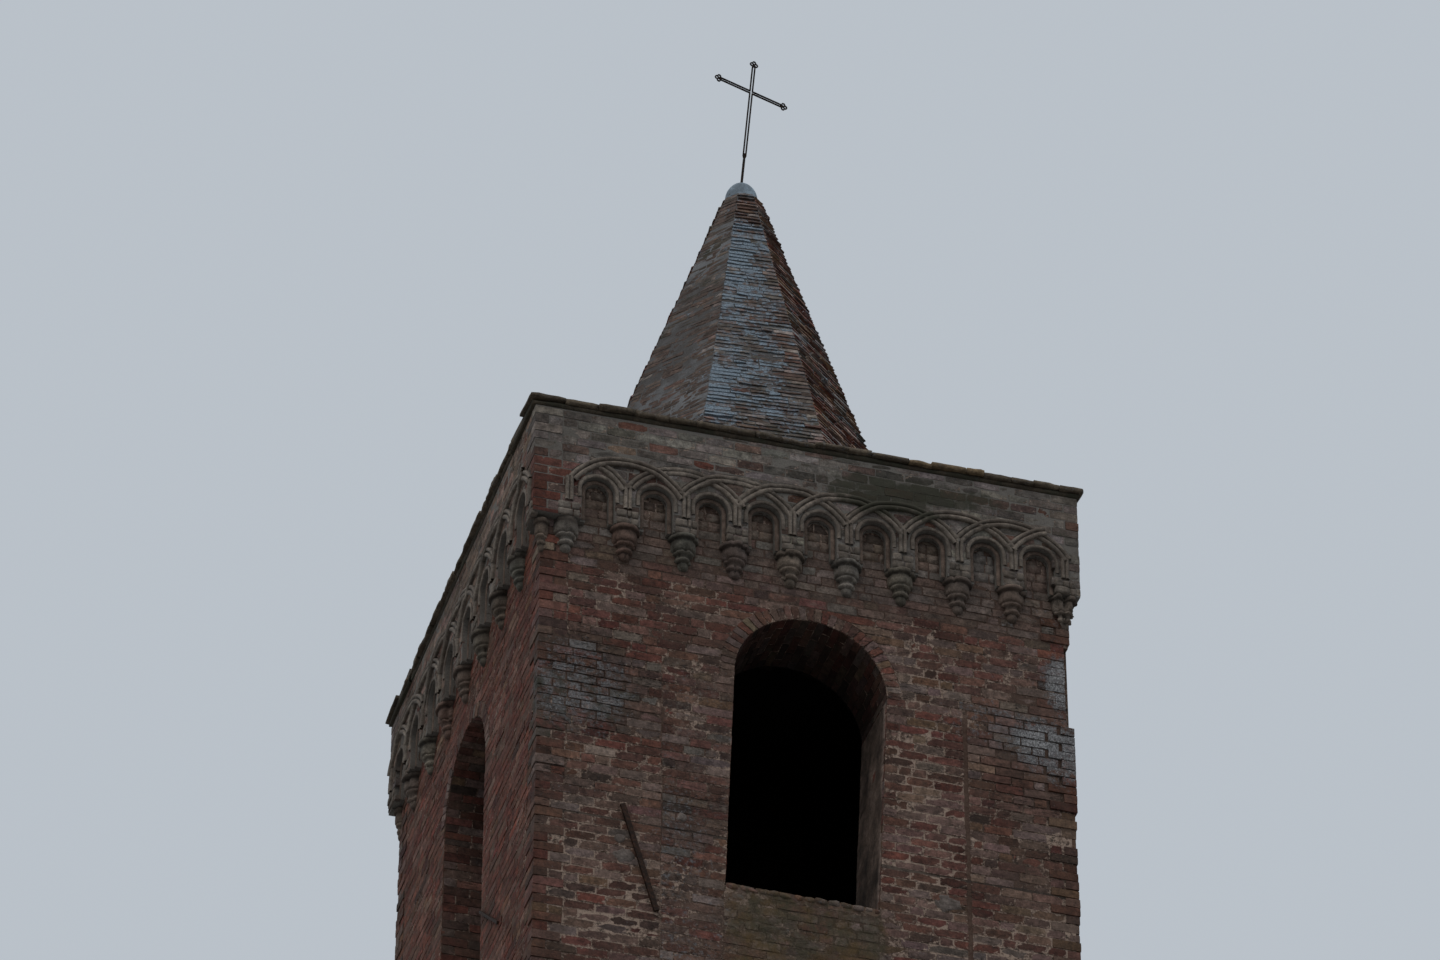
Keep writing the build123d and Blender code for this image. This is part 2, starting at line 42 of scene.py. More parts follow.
# ---------------------------------------------------------------------------
# Measures of the tower, in metres.
# Each face of the shaft has its own frame: u along the face from its left end
# to its right end seen from outside, z up, d outwards from the shaft's face.
# ---------------------------------------------------------------------------
HALF = 2.4
WALL = 0.72
INNER = 1.68
SILL = 15.5
BASE = SILL - 1.4
SPRING = SILL + 2.25
TOP = SILL + 4.65
FLOOR = SILL - 0.2
ARRIS_TOP = SILL + 3.15
PROJ = 0.100
FOOT = SILL + 3.59
PITCH = {"front": 0.506, "right": 0.506, "back": 0.506, "left": 0.610}
NICHE_R, NICHE_Z = 0.105, SILL + 3.91
ORDER_R, ORDER_DEPTH = 0.150, 0.048
ARCH_RISE, ARCH_FOOT, STILT_Z = 0.565, SILL + 3.985, SILL + 3.76
RISE = {"front": (0.0, 0.0325), "left": (0.0, -0.045), "right": (0.090, 0.0), "back": (0.090, 0.0)}
OUT = 2.558
COPE_IN = 1.76
RING = 0.13
OLD_L, OLD_R = -1.304, 1.420
F_SILL_L, F_SILL_R = -0.743, 0.620
F_SPRING_L, F_SPRING_R = -0.660, 0.720
F_R = (F_SPRING_R - F_SPRING_L) / 2
F_MID = (F_SPRING_R + F_SPRING_L) / 2
OPEN_R = 0.70
SIDE_Y = 0.025
SPIRE_Z0, SPIRE_Z1 = TOP + 0.15, SILL + 9.70
SPIRE_R0, SPIRE_R1 = 1.805, 0.185
SPIRE_X0, SPIRE_X1 = 0.037, 0.152
SPIRE_TURN = -5.3

FACES = {
    "front": (np.array((0, -HALF, 0.0)), np.array((1.0, 0, 0)), np.array((0, -1.0, 0))),
    "right": (np.array((HALF, 0, 0.0)), np.array((0, 1.0, 0)), np.array((1.0, 0, 0))),
    "back": (np.array((0, HALF, 0.0)), np.array((-1.0, 0, 0)), np.array((0, 1.0, 0))),
    "left": (np.array((-HALF, 0, 0.0)), np.array((0, -1.0, 0)), np.array((-1.0, 0, 0))),
}
ZUP = np.array((0, 0, 1.0))
ROW = {
    "front": [-2.185, -1.658, -1.128, -0.663, -0.161, 0.360, 0.855, 1.380, 1.882, 2.363],
    "left": [-HALF] + [HALF - 0.610 * k for k in range(7, 0, -1)] + [HALF],
    "right": [0.506 * (k - 4) for k in range(9)],
    "back": [0.506 * (k - 4) for k in range(9)],
}
# middle of each face's opening along u, and its half width
OPENING = {"front": (F_MID, F_R), "back": (0.0, OPEN_R), "left": (-SIDE_Y, OPEN_R), "right": (SIDE_Y, OPEN_R)}


def lift(x):
    """How far the top of the walls is above TOP: it climbs from left to right."""
    return 0.035 + 0.085 * (x + OUT) / (2 * OUT)


def at(face, u, z, d=0.0):
    o, ax, n = FACES[face]
    return o + ax * u + ZUP * z + n * d


def rise(face, u):
    """How much higher than in the middle of the front the arcade is at a place."""
    base, slope = RISE[face]
    return base + slope * u


# ---------------------------------------------------------------- noise
def _lattice(ix, iy, seed):
    h = (ix * 374761393 + iy * 668265263 + seed * 974634777) & 0xFFFFFFFF
    h = ((h ^ (h >> 13)) * 1274126177) & 0xFFFFFFFF
    return ((h ^ (h >> 16)) & 0xFFFF) / 65535.0


def noise2(x, y, seed=0):
    """Smooth noise from 0 to 1."""
    x, y = np.broadcast_arrays(np.asarray(x, float), np.asarray(y, float))
    x0, y0 = np.floor(x).astype(np.int64), np.floor(y).astype(np.int64)
    fx, fy = x - x0, y - y0
    fx, fy = fx * fx * (3 - 2 * fx), fy * fy * (3 - 2 * fy)
    a, b = _lattice(x0, y0, seed), _lattice(x0 + 1, y0, seed)
    c, d = _lattice(x0, y0 + 1, seed), _lattice(x0 + 1, y0 + 1, seed)
    return (a * (1 - fx) + b * fx) * (1 - fy) + (c * (1 - fx) + d * fx) * fy


def fbm2(x, y, seed=0, octaves=4):
    total, weight = 0.0, 0.0
    for k in range(octaves):
        total = total + noise2(np.asarray(x) * 2 ** k, np.asarray(y) * 2 ** k, seed + 17 * k) * 0.5 ** k
        weight += 0.5 ** k
    return total / weight


def step(a, b, x):
    t = np.clip((np.asarray(x, float) - a) / (b - a), 0, 1)
    return t * t * (3 - 2 * t)


# ---------------------------------------------------------------- meshes
def build(name, verts, polys, material, tint=None, wear=None, smooth=True, replaces=(), edge=None):
    """A mesh piece from vertices and a list of index arrays (each n x k), riding on the tower."""
    verts = np.asarray(verts, np.float32).reshape(-1, 3)
    polys = [np.asarray(p, np.int32) for p in polys if len(p)]
    me = bpy.data.meshes.new(name)
    me.vertices.add(len(verts))
    me.vertices.foreach_set("co", verts.ravel())
    loops = np.concatenate([p.ravel() for p in polys])
    sizes = np.concatenate([np.full(len(p), p.shape[1], np.int32) for p in polys])
    me.loops.add(len(loops))
    me.loops.foreach_set("vertex_index", loops)
    me.polygons.add(len(sizes))
    starts = np.concatenate(([0], np.cumsum(sizes)[:-1])).astype(np.int32)
    me.polygons.foreach_set("loop_start", starts)
    me.polygons.foreach_set("loop_total", sizes)
    me.polygons.foreach_set("use_smooth", np.full(len(sizes), smooth, bool))
    for key, values in (("tint", tint), ("wear", wear)):
        if values is not None:
            a = me.attributes.new(key, "FLOAT_COLOR", "POINT")
            values = np.asarray(values, np.float32)
            if values.shape[1] == 3:
                values = np.concatenate([values, np.ones((len(values), 1), np.float32)], 1)
            a.data.foreach_set("color", values.ravel())
    if edge is not None:
        me.attributes.new("edge", "FLOAT", "POINT").data.foreach_set("value", np.asarray(edge, np.float32))
    me.update(calc_edges=True)
    me.validate()
    me.materials.append(material)
    ob = bpy.data.objects.new(name, me)
    bpy.context.scene.collection.objects.link(ob)
    for n in replaces:
        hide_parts(n)
    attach(ob, "root")
    return ob


class Bricks:
    """Many small blocks of one kind, made as one mesh. Each is given by the four corners of its face
    (bottom left, bottom right, top right, top left seen from outside) on the wall, how far each corner
    stands out, its colour and its wear (lichen, lime wash, damp, random)."""

    def __init__(self):
        self.c, self.n, self.p, self.t, self.w = [], [], [], [], []

    def add(self, corners, normal, proud, tint, wear):
        self.c.append(corners)
        self.n.append(normal)
        self.p.append(proud if np.ndim(proud) else (proud,) * 4)
        self.t.append(tint)
        self.w.append(wear)

    def mesh(self, name, material, slot, nx=3, ny=1, pillow=0.004, rough=0.0015, jitter=0.003, embed=0.03,
             round_=0.2, smooth=True, seed=1):
        r = np.random.default_rng(seed)
        C, N, P = np.array(self.c, float), np.array(self.n, float), np.array(self.p, float)
        T, W = np.array(self.t, float), np.array(self.w, float)
        n = len(C)
        s, t = np.linspace(0, 1, nx + 1), np.linspace(0, 1, ny + 1)
        S, Q = np.meshgrid(s, t)
        S, Q = S.ravel(), Q.ravel()
        w = np.stack([(1 - S) * (1 - Q), S * (1 - Q), S * Q, (1 - S) * Q], 1)
        V = np.einsum("vk,nkc->nvc", w, C)
        D = np.einsum("vk,nk->nv", w, P)
        m = len(S)
        eu = C[:, 1] - C[:, 0] + C[:, 2] - C[:, 3]
        eu /= np.maximum(np.linalg.norm(eu, axis=1, keepdims=True), 1e-9)
        et = np.cross(N, eu)
        edge_s, edge_t = (S == 0) | (S == 1), (Q == 0) | (Q == 1)
        corner = edge_s & edge_t
        J = r.normal(size=(n, m, 2)) * jitter
        # worn corners draw in towards the middle of the brick, a few are knocked off
        pull = (corner * round_)[None, :] * r.uniform(0.1, 1.0, size=(n, m)) ** 2 * 0.03
        J[..., 0] += np.where(S == 0, 1, -1)[None, :] * pull
        J[..., 1] += np.where(Q == 0, 1, -1)[None, :] * pull * 0.6
        V = V + J[..., 0:1] * eu[:, None] + J[..., 1:2] * et[:, None]
        D = D - pillow * (edge_s | edge_t)[None, :] - pillow * 0.7 * corner[None, :] + r.normal(size=(n, m)) * rough
        Fv = V + N[:, None] * D[..., None]
        row = nx + 1
        loop = ([i for i in range(row)] + [j * row + nx for j in range(1, ny + 1)]
                + [ny * row + i for i in range(nx - 1, -1, -1)] + [j * row for j in range(ny - 1, 0, -1)])
        B = V[:, loop] - N[:, None] * embed
        verts = np.concatenate([Fv, B], 1)
        k = len(loop)
        quads = [(j * row + i, j * row + i + 1, (j + 1) * row + i + 1, (j + 1) * row + i)
                 for j in range(ny) for i in range(nx)]
        for i in range(k):
            a, b = i, (i + 1) % k
            quads.append((loop[a], m + a, m + b, loop[b]))
        back = [tuple(m + i for i in range(k - 1, -1, -1))]
        size = m + k
        off = (np.arange(n) * size)[:, None, None]
        quads = (np.array(quads)[None] + off).reshape(-1, 4)
        back = (np.array(back)[None] + off).reshape(-1, k)
        tint = np.repeat(T[:, None], size, 1).reshape(-1, T.shape[1])
        wear = np.repeat(W[:, None], size, 1).reshape(-1, W.shape[1])
        # 1 at a brick's edges, where mortar is smeared over it, and 0 in its middle
        edge = np.ones((n, size))
        edge[:, :m] = (edge_s | edge_t).astype(float)[None] if ny > 1 else 0.3
        return build(name, verts.reshape(-1, 3), [quads, back], material, tint, wear, smooth, (), edge.ravel())


def lump(centre, half, axes, cells=(4, 2, 2), rough=0.01, seed=0, round_=0.35):
    """A worn block: a box of cells drawn in at its corners and shaken by noise. Returns vertices and quads."""
    nx, ny, nz = cells
    idx, verts = {}, []

    def vertex(i, j, k):
        if (i, j, k) not in idx:
            p = [2 * i / nx - 1, 2 * j / ny - 1, 2 * k / nz - 1]
            q = [p[0] * math.sqrt(max(0, 1 - round_ * (p[1] ** 2 + p[2] ** 2) / 4)),
                 p[1] * math.sqrt(max(0, 1 - round_ * (p[0] ** 2 + p[2] ** 2) / 4)),
                 p[2] * math.sqrt(max(0, 1 - round_ * (p[0] ** 2 + p[1] ** 2) / 4))]
            v = sum((np.array(axes[a]) * q[a] * half[a] for a in range(3)), np.array(centre, float))
            s = Vector(v) * 9.0 + Vector((seed * 3.7, seed * 1.3, 0))
            v = v + np.array(noise.noise_vector(s)) * rough + np.array(noise.noise_vector(s * 3.1)) * rough * 0.5
            idx[(i, j, k)] = len(verts)
            verts.append(v)
        return idx[(i, j, k)]

    quads = []
    for j in range(ny):
        for k in range(nz):
            quads.append((vertex(0, j, k), vertex(0, j, k + 1), vertex(0, j + 1, k + 1), vertex(0, j + 1, k)))
            quads.append((vertex(nx, j, k), vertex(nx, j + 1, k), vertex(nx, j + 1, k + 1), vertex(nx, j, k + 1)))
    for i in range(nx):
        for k in range(nz):
            quads.append((vertex(i, 0, k), vertex(i + 1, 0, k), vertex(i + 1, 0, k + 1), vertex(i, 0, k + 1)))
            quads.append((vertex(i, ny, k), vertex(i, ny, k + 1), vertex(i + 1, ny, k + 1), vertex(i + 1, ny, k)))
    for i in range(nx):
        for j in range(ny):
            quads.append((vertex(i, j, 0), vertex(i, j + 1, 0), vertex(i + 1, j + 1, 0), vertex(i + 1, j, 0)))
            quads.append((vertex(i, j, nz), vertex(i + 1, j, nz), vertex(i + 1, j + 1, nz), vertex(i, j + 1, nz)))
    return np.array(verts), np.array(quads)


class Soup:
    """Quads of any shape gathered into one mesh, with one colour and wear per addition."""

    def __init__(self):
        self.v, self.q, self.t, self.w, self.n = [], [], [], [], 0

    def add(self, verts, quads, tint, wear):
        verts = np.asarray(verts, float)
        self.v.append(verts)
        self.q.append(np.asarray(quads) + self.n)
        tint, wear = np.asarray(tint, float), np.asarray(wear, float)
        self.t.append(tint if tint.ndim == 2 else np.repeat(tint[None], len(verts), 0))
        self.w.append(wear if wear.ndim == 2 else np.repeat(wear[None], len(verts), 0))
        self.n += len(verts)

    def mesh(self, name, material, slot, smooth=True, replaces=()):
        return build(name, np.concatenate(self.v), [np.concatenate(self.q)], material,
                     np.concatenate(self.t), np.concatenate(self.w), smooth, replaces)


def grid_quads(nu, nv, wrap=False):
    """Quads of a grid of nu x nv vertices, u fastest."""
    i, j = np.meshgrid(np.arange(nu if wrap else nu - 1), np.arange(nv - 1))
    i, j = i.ravel(), j.ravel()
    i2 = (i + 1) % nu
    return np.stack([j * nu + i, j * nu + i2, (j + 1) * nu + i2, (j + 1) * nu + i], 1)


# ---------------------------------------------------------------- courses
def courses(z0, z1, mean=0.0905):
    """Heights of the bed joints."""
    n = max(1, round((z1 - z0) / mean))
    h = rng.uniform(0.93, 1.07, n)
    return z0 + np.concatenate(([0], np.cumsum(h))) * (z1 - z0) / h.sum()


LOW = courses(0.0, BASE)                   # plain lower shaft
HIGH = courses(BASE, SILL + 3.72)          # belfry, up to behind the cornice
CRACK = min(HIGH, key=lambda z: abs(z - SILL - 0.46))      # an open bed joint across the front
CRACKED = [(-2.38, -1.70), (-1.22, -0.75), (0.70, 1.38), (1.50, 2.00)]

# ---------------------------------------------------------------- materials
class Nodes:
    """Short names for the node types the materials are made of."""

    def __init__(self, name):
        self.m = bpy.data.materials.new(name)
        self.m.use_nodes = True
        self.t = self.m.node_tree
        self.t.nodes.clear()
        self.out = self.t.nodes.new("ShaderNodeOutputMaterial")
        self.bsdf = self.t.nodes.new("ShaderNodeBsdfPrincipled")
        self.t.links.new(self.bsdf.outputs["BSDF"], self.out.inputs["Surface"])
        self.pos = self.t.nodes.new("ShaderNodeTexCoord").outputs["Object"]

    def put(self, socket, value):
        if isinstance(value, bpy.types.NodeSocket):
            self.t.links.new(value, socket)
        elif value is not None:
            if hasattr(socket.default_value, "__len__") and len(socket.default_value) == 4 and len(value) == 3:
                value = tuple(value) + (1.0,)
            socket.default_value = value

    def attr(self, name, out="Color"):
        n = self.t.nodes.new("ShaderNodeAttribute")
        n.attribute_name = name
        return n.outputs[out]

    def split(self, colour):
        n = self.t.nodes.new("ShaderNodeSeparateColor")
        self.put(n.inputs[0], colour)
        return n.outputs[0], n.outputs[1], n.outputs[2]

    def noise(self, scale, detail=4.0, rough=0.6, stretch=None, distort=0.0):
        n = self.t.nodes.new("ShaderNodeTexNoise")
        n.inputs["Scale"].default_value = scale
        n.inputs["Detail"].default_value = detail
        n.inputs["Roughness"].default_value = rough
        n.inputs["Distortion"].default_value = distort
        self.put(n.inputs["Vector"], self.stretch(stretch) if stretch else self.pos)
        return n.outputs["Fac"]

    def stretch(self, scale):
        n = self.t.nodes.new("ShaderNodeMapping")
        n.inputs["Scale"].default_value = scale
        self.put(n.inputs["Vector"], self.pos)
        return n.outputs["Vector"]

    def voronoi(self, scale, feature="F1", stretch=None, out="Distance"):
        n = self.t.nodes.new("ShaderNodeTexVoronoi")
        n.feature = feature
        n.inputs["Scale"].default_value = scale
        self.put(n.inputs["Vector"], self.stretch(stretch) if stretch else self.pos)
        return n.outputs[out]

    def ramp(self, fac, *stops):
        n = self.t.nodes.new("ShaderNodeValToRGB")
        e = n.color_ramp.elements
        while len(e) < len(stops):
            e.new(0.5)
        for el, (p, c) in zip(e, stops):
            el.position = p
            el.color = (c, c, c, 1) if not hasattr(c, "__len__") else (*c, 1)
        self.put(n.inputs[0], fac)
        return n.outputs[0]

    def mix(self, fac, a, b, blend="MIX"):
        n = self.t.nodes.new("ShaderNodeMix")
        n.data_type = "RGBA"
        n.blend_type = blend
        self.put(n.inputs[0], fac)
        self.put(n.inputs[6], a)
        self.put(n.inputs[7], b)
        return n.outputs[2]

    def math(self, op, a, b=None, clamp=False):
        n = self.t.nodes.new("ShaderNodeMath")
        n.operation = op
        n.use_clamp = clamp
        self.put(n.inputs[0], a)
        if b is not None:
            self.put(n.inputs[1], b)
        return n.outputs[0]

    def remap(self, x, a, b, lo=0.0, hi=1.0):
        n = self.t.nodes.new("ShaderNodeMapRange")
        n.interpolation_type = "SMOOTHSTEP"
        for i, v in enumerate((x, a, b, lo, hi)):
            self.put(n.inputs[i], v)
        return n.outputs[0]

    def xyz(self):
        n = self.t.nodes.new("ShaderNodeSeparateXYZ")
        self.put(n.inputs[0], self.pos)
        return n.outputs

    def finish(self, colour, height=None, distance=0.004, strength=0.7, rough=0.92, spec=0.25, metal=0.0):
        self.put(self.bsdf.inputs["Base Color"], colour)
        self.put(self.bsdf.inputs["Roughness"], rough)
        self.bsdf.inputs["Specular IOR Level"].default_value = spec
        self.bsdf.inputs["Metallic"].default_value = metal
        if height is not None:
            b = self.t.nodes.new("ShaderNodeBump")
            b.inputs["Strength"].default_value = strength
            b.inputs["Distance"].default_value = distance
            self.put(b.inputs["Height"], height)
            self.put(self.bsdf.inputs["Normal"], b.outputs[0])
        return self.m


LIME = (0.285, 0.245, 0.205)
LICHEN = (0.205, 0.212, 0.222)
LICHEN_PALE = (0.42, 0.43, 0.44)
MOSS = (0.052, 0.058, 0.036)
SOOT = (0.022, 0.018, 0.015)
# the dull mortar is dirty and washed out, and painted darker still: painted shade in the deep joints
MORTAR_DULL = (0.094, 0.061, 0.047)
MORTAR_PALE = (0.385, 0.292, 0.234)

# where the pointing on the front is fresh and pale, and where it is washed out and dark, the dark partly painted shade
# of deep joints:
# x, height above the sill, reach in x, reach in height, amount
POINTING = [(1.07, 0.90, 0.45, 1.50, 0.07), (-1.75, -0.10, 0.85, 1.00, 0.06), (-1.00, 1.35, 0.40, 0.60, 0.04),
            (1.95, 0.05, 0.60, 0.55, 0.06), (0.00, 3.42, 3.20, 0.42, -0.14), (-2.00, 1.95, 0.60, 0.55, -0.13),
            (2.05, 1.95, 0.55, 0.75, -0.12), (-1.10, 0.55, 0.35, 0.40, -0.09)]


def pointing(g):
    """How pale the mortar is at a place."""
    w = g.math("ADD", g.math("MULTIPLY", g.noise(1.3, 4, 0.6), 0.45), g.math("MULTIPLY", g.noise(7.0, 5, 0.7), 0.25))
    w = g.math("ADD", w, g.math("MULTIPLY", g.noise(32.0, 4, 0.7), 0.50))
    x, y, z = g.xyz()
    front = g.remap(y, -2.36, -2.30, 1.0, 0.0)
    for cx, cz, rx, rz, amount in POINTING:
        dx = g.math("DIVIDE", g.math("SUBTRACT", x, cx), rx)
        dz = g.math("DIVIDE", g.math("SUBTRACT", z, SILL + cz), rz)
        q = g.math("ADD", g.math("MULTIPLY", dx, dx), g.math("MULTIPLY", dz, dz))
        w = g.math("ADD", w, g.math("MULTIPLY", front, g.remap(q, 0.1, 1.1, amount, 0.0)))
    return w


def spread(g, places, near=-2.30):
    """The sum of soft patches on the front: x, height above the sill, reach in x and in height, amount."""
    x, y, z = g.xyz()
    front = g.remap(y, near, near + 0.10, 1.0, 0.0)
    total = None
    for cx, cz, rx, rz, amount in places:
        dx = g.math("DIVIDE", g.math("SUBTRACT", x, cx), rx)
        dz = g.math("DIVIDE", g.math("SUBTRACT", z, SILL + cz), rz)
        q = g.math("ADD", g.math("MULTIPLY", dx, dx), g.math("MULTIPLY", dz, dz))
        one = g.math("MULTIPLY", front, g.remap(q, 0.1, 1.1, amount, 0.0))
        total = one if total is None else g.math("ADD", total, one)
    return total


def cracks(g):
    """Dark eroded lines that wander along the courses, on the left of the front and at its right edge most of all."""
    n = g.noise(4.2, 5, 0.58, stretch=(0.55, 0.55, 3.4))
    line = g.remap(g.math("ABSOLUTE", g.math("SUBTRACT", n, 0.5)), 0.002, 0.014, 1.0, 0.0)
    where = g.math("ADD", g.noise(1.9, 5, 0.65), spread(g, ERODED))
    return g.math("MULTIPLY", line, g.remap(where, 0.50, 0.66, 0.0, 0.85))


def film(g):
    """The olive film on the brickwork under the sill of the front."""
    x, y, z = g.xyz()
    n = g.math("MULTIPLY", g.math("SUBTRACT", g.noise(5.0, 6, 0.7), 0.5), 0.40)
    x = g.math("ADD", x, n)
    z = g.math("ADD", z, n)
    f = g.math("MULTIPLY", g.remap(x, -0.80, -0.64), g.remap(x, 0.60, 0.70, 1.0, 0.0))
    f = g.math("MULTIPLY", f, g.remap(z, SILL - 1.10, SILL - 0.75))
    f = g.math("MULTIPLY", f, g.remap(z, SILL + 0.02, SILL + 0.14, 1.0, 0.0))
    f = g.math("MULTIPLY", f, g.remap(y, -2.37, -2.33, 1.0, 0.0))
    f = g.math("MULTIPLY", f, g.remap(g.noise(14.0, 6, 0.7), 0.32, 0.58, 0.50, 0.95))
    return g.math("MULTIPLY", f, g.remap(g.noise(3.6, 6, 0.7), 0.40, 0.56, 0.35, 1.0))


def film_colour(g):
    return g.mix(g.remap(g.noise(3.0, 5, 0.65), 0.42, 0.60), (0.064, 0.055, 0.034), (0.102, 0.067, 0.030))


ERODED = ((-1.75, 1.80, 0.85, 0.95, 0.14), (2.10, 1.75, 0.50, 0.95, 0.10), (-0.95, 0.60, 0.30, 0.70, 0.08))
CRUSTS = ((2.25, 1.98, 0.50, 0.44, 0.22), (2.34, 2.72, 0.24, 0.42, 0.27), (-2.05, 1.80, 0.65, 0.62, 0.19), (1.75, 2.15, 0.65, 0.30, 0.10),
          (-1.2, 0.45, 0.35, 0.6, 0.08))
STAINS = ((0.68, 4.42, 0.74, 0.24, 0.40), (1.38, 4.52, 0.60, 0.17, 0.30), (-0.35, 4.58, 0.5, 0.07, 0.22),
          (-2.35, 4.30, 0.10, 0.35, 0.18), (2.35, 4.25, 0.12, 0.30, 0.15))


def masonry(name, grain=60.0, lime=LIME, bump=0.004, pits=0.45, lichens=(LICHEN, LICHEN_PALE), smear=False, crust=23.0, broad=0.38,
            patches=0.0, streaks=0.0, stains=(), crusts=(), olive=False):
    """Weathered masonry whose body colour comes with each block, and on which lichen, lime wash and damp
    spread as the block's wear says. Mortar is smeared over a block's edges."""
    g = Nodes(name)
    tint = g.attr("tint")
    lichen, wash, damp = g.split(g.attr("wear"))
    wide = g.noise(3.1, 5, 0.6)
    mid = g.noise(17.0, 6, 0.65)
    fine = g.noise(grain, 5, 0.7)
    body = g.mix(1.0, tint, g.ramp(mid, (0.28, 0.42), (0.5, 0.96), (0.74, 1.62)), "MULTIPLY")
    body = g.mix(1.0, body, g.ramp(fine, (0.25, 0.50), (0.75, 1.46)), "MULTIPLY")
    body = g.mix(1.0, body, g.ramp(g.noise(4.6, 4, 0.55), (0.34, 0.76), (0.66, 1.26)), "MULTIPLY")
    if broad:
        body = g.mix(g.remap(wide, 0.42, 0.72, 0.0, broad), body, (0.094, 0.066, 0.050))
    if streaks:
        body = g.mix(1.0, body, g.ramp(g.noise(9.0, 7, 0.72, stretch=(0.5, 0.5, 4.0)), (0.30, 1.0 - streaks), (0.72, 1.0 + streaks)), "MULTIPLY")
    # lime wash and smears of mortar
    w = g.math("ADD", g.noise(11.0, 7, 0.68), g.math("MULTIPLY", wash, 0.62))
    body = g.mix(g.remap(w, 0.72, 1.02, 0.0, 0.80), body, g.mix(mid, lime, (0.165, 0.142, 0.118)))
    height = g.math("ADD", g.math("MULTIPLY", mid, 1.2), g.math("MULTIPLY", fine, 0.7))
    if smear:
        pale = g.remap(pointing(g), 0.565, 0.69)
        e = g.math("ADD", g.math("MULTIPLY", g.attr("edge", "Fac"), 0.62), g.noise(33.0, 6, 0.70))
        e = g.math("ADD", e, g.math("MULTIPLY", pale, 0.06))
        cover = g.remap(e, 1.11, 1.25, 0.0, 0.85)
        body = g.mix(cover, body, g.mix(1.0, g.mix(pale, MORTAR_DULL, MORTAR_PALE), g.ramp(fine, (0.25, 0.75), (0.75, 1.2)), "MULTIPLY"))
        height = g.math("ADD", height, g.math("MULTIPLY", cover, 0.5))
    # lichen, in crusts with pale flecks
    l = g.math("ADD", g.noise(crust, 8, 0.72), g.math("MULTIPLY", lichen, 0.55))
    if patches:
        l = g.math("ADD", l, g.math("MULTIPLY", g.math("SUBTRACT", g.noise(3.4, 7, 0.70, stretch=(1.0, 1.0, 1.5)), 0.5), patches))
    if crusts:
        l = g.math("ADD", l, spread(g, crusts))
    body = g.mix(g.remap(l, 0.66, 0.88, 0.0, 0.9), body, g.mix(g.remap(fine, 0.40, 0.62), tuple(0.42 * c for c in lichens[0]), tuple(1.05 * c for c in lichens[0])))
    f = g.math("ADD", g.noise(70.0, 5, 0.75), g.math("MULTIPLY", lichen, 0.22))
    if crusts:
        f = g.math("ADD", f, g.math("MULTIPLY", spread(g, crusts), 0.80))
    body = g.mix(g.remap(f, 0.76, 0.84, 0.0, 0.75), body, lichens[1])
    # damp and moss
    d = g.math("ADD", g.noise(6.5, 7, 0.7), g.math("MULTIPLY", damp, 0.6))
    if patches:
        d = g.math("ADD", d, g.math("MULTIPLY", g.math("SUBTRACT", g.noise(2.6, 6, 0.72, stretch=(1.0, 1.0, 1.8)), 0.5), patches))
    if stains:
        d = g.math("ADD", d, spread(g, stains))
    body = g.mix(g.remap(d, 0.66, 0.95, 0.0, 0.88), body, g.mix(mid, MOSS, SOOT))
    if olive:
        gap = cracks(g)
        body = g.mix(gap, body, SOOT)
        height = g.math("SUBTRACT", height, g.math("MULTIPLY", gap, 1.2))
        body = g.mix(film(g), body, g.mix(1.0, film_colour(g), g.ramp(fine, (0.25, 0.7), (0.75, 1.3)), "MULTIPLY"))
    pit = g.voronoi(grain * 0.9)
    body = g.mix(g.remap(pit, 0.0, 0.20, pits, 0.0), body, SOOT)
    height = g.math("ADD", height, g.remap(pit, 0.0, 0.3, 0.0, 0.35))
    return g.finish(body, height, bump, 0.8, g.ramp(mid, (0.2, 0.84), (0.8, 0.97)))


def joints_colour(g):
    """The bed and joints between the bricks: eroded and dirty in places, fresh and pale in others."""
    mid = g.noise(9.0, 7, 0.7)
    fine = g.noise(90.0, 4, 0.7)
    c = g.mix(g.remap(pointing(g), 0.565, 0.69), MORTAR_DULL, MORTAR_PALE)
    c = g.mix(1.0, c, g.ramp(fine, (0.25, 0.68), (0.75, 1.25)), "MULTIPLY")
    c = g.mix(g.remap(g.noise(24.0, 6, 0.7), 0.50, 0.66, 0.0, 0.85), c, SOOT)
    # the straight joints beside the old opening, and the open bed joint across the front
    x, y, z = g.xyz()
    front = g.remap(y, -2.37, -2.33, 1.0, 0.0)
    low = g.math("MULTIPLY", front, g.remap(z, SILL + 2.15, SILL + 2.30, 1.0, 0.0))
    for place, reach, amount in ((OLD_R, 0.034, 0.90), (OLD_L, 0.028, 0.55)):
        off = g.math("ABSOLUTE", g.math("SUBTRACT", x, place))
        c = g.mix(g.math("MULTIPLY", low, g.remap(off, reach * 0.55, reach, amount, 0.0)), c, (0.078, 0.046, 0.034))
    off = g.math("ABSOLUTE", g.math("SUBTRACT", z, CRACK - 0.004))
    c = g.mix(g.math("MULTIPLY", front, g.remap(off, 0.014, 0.024, 0.8, 0.0)), c, (0.045, 0.036, 0.030))
    c = g.mix(g.remap(x, -2.37, -2.33, 0.88, 0.0), c, (0.110, 0.068, 0.050))
    c = g.mix(cracks(g), c, SOOT)
    c = g.mix(film(g), c, g.mix(1.0, film_colour(g), g.ramp(fine, (0.25, 0.5), (0.75, 1.0)), "MULTIPLY"))
    return c, mid, fine


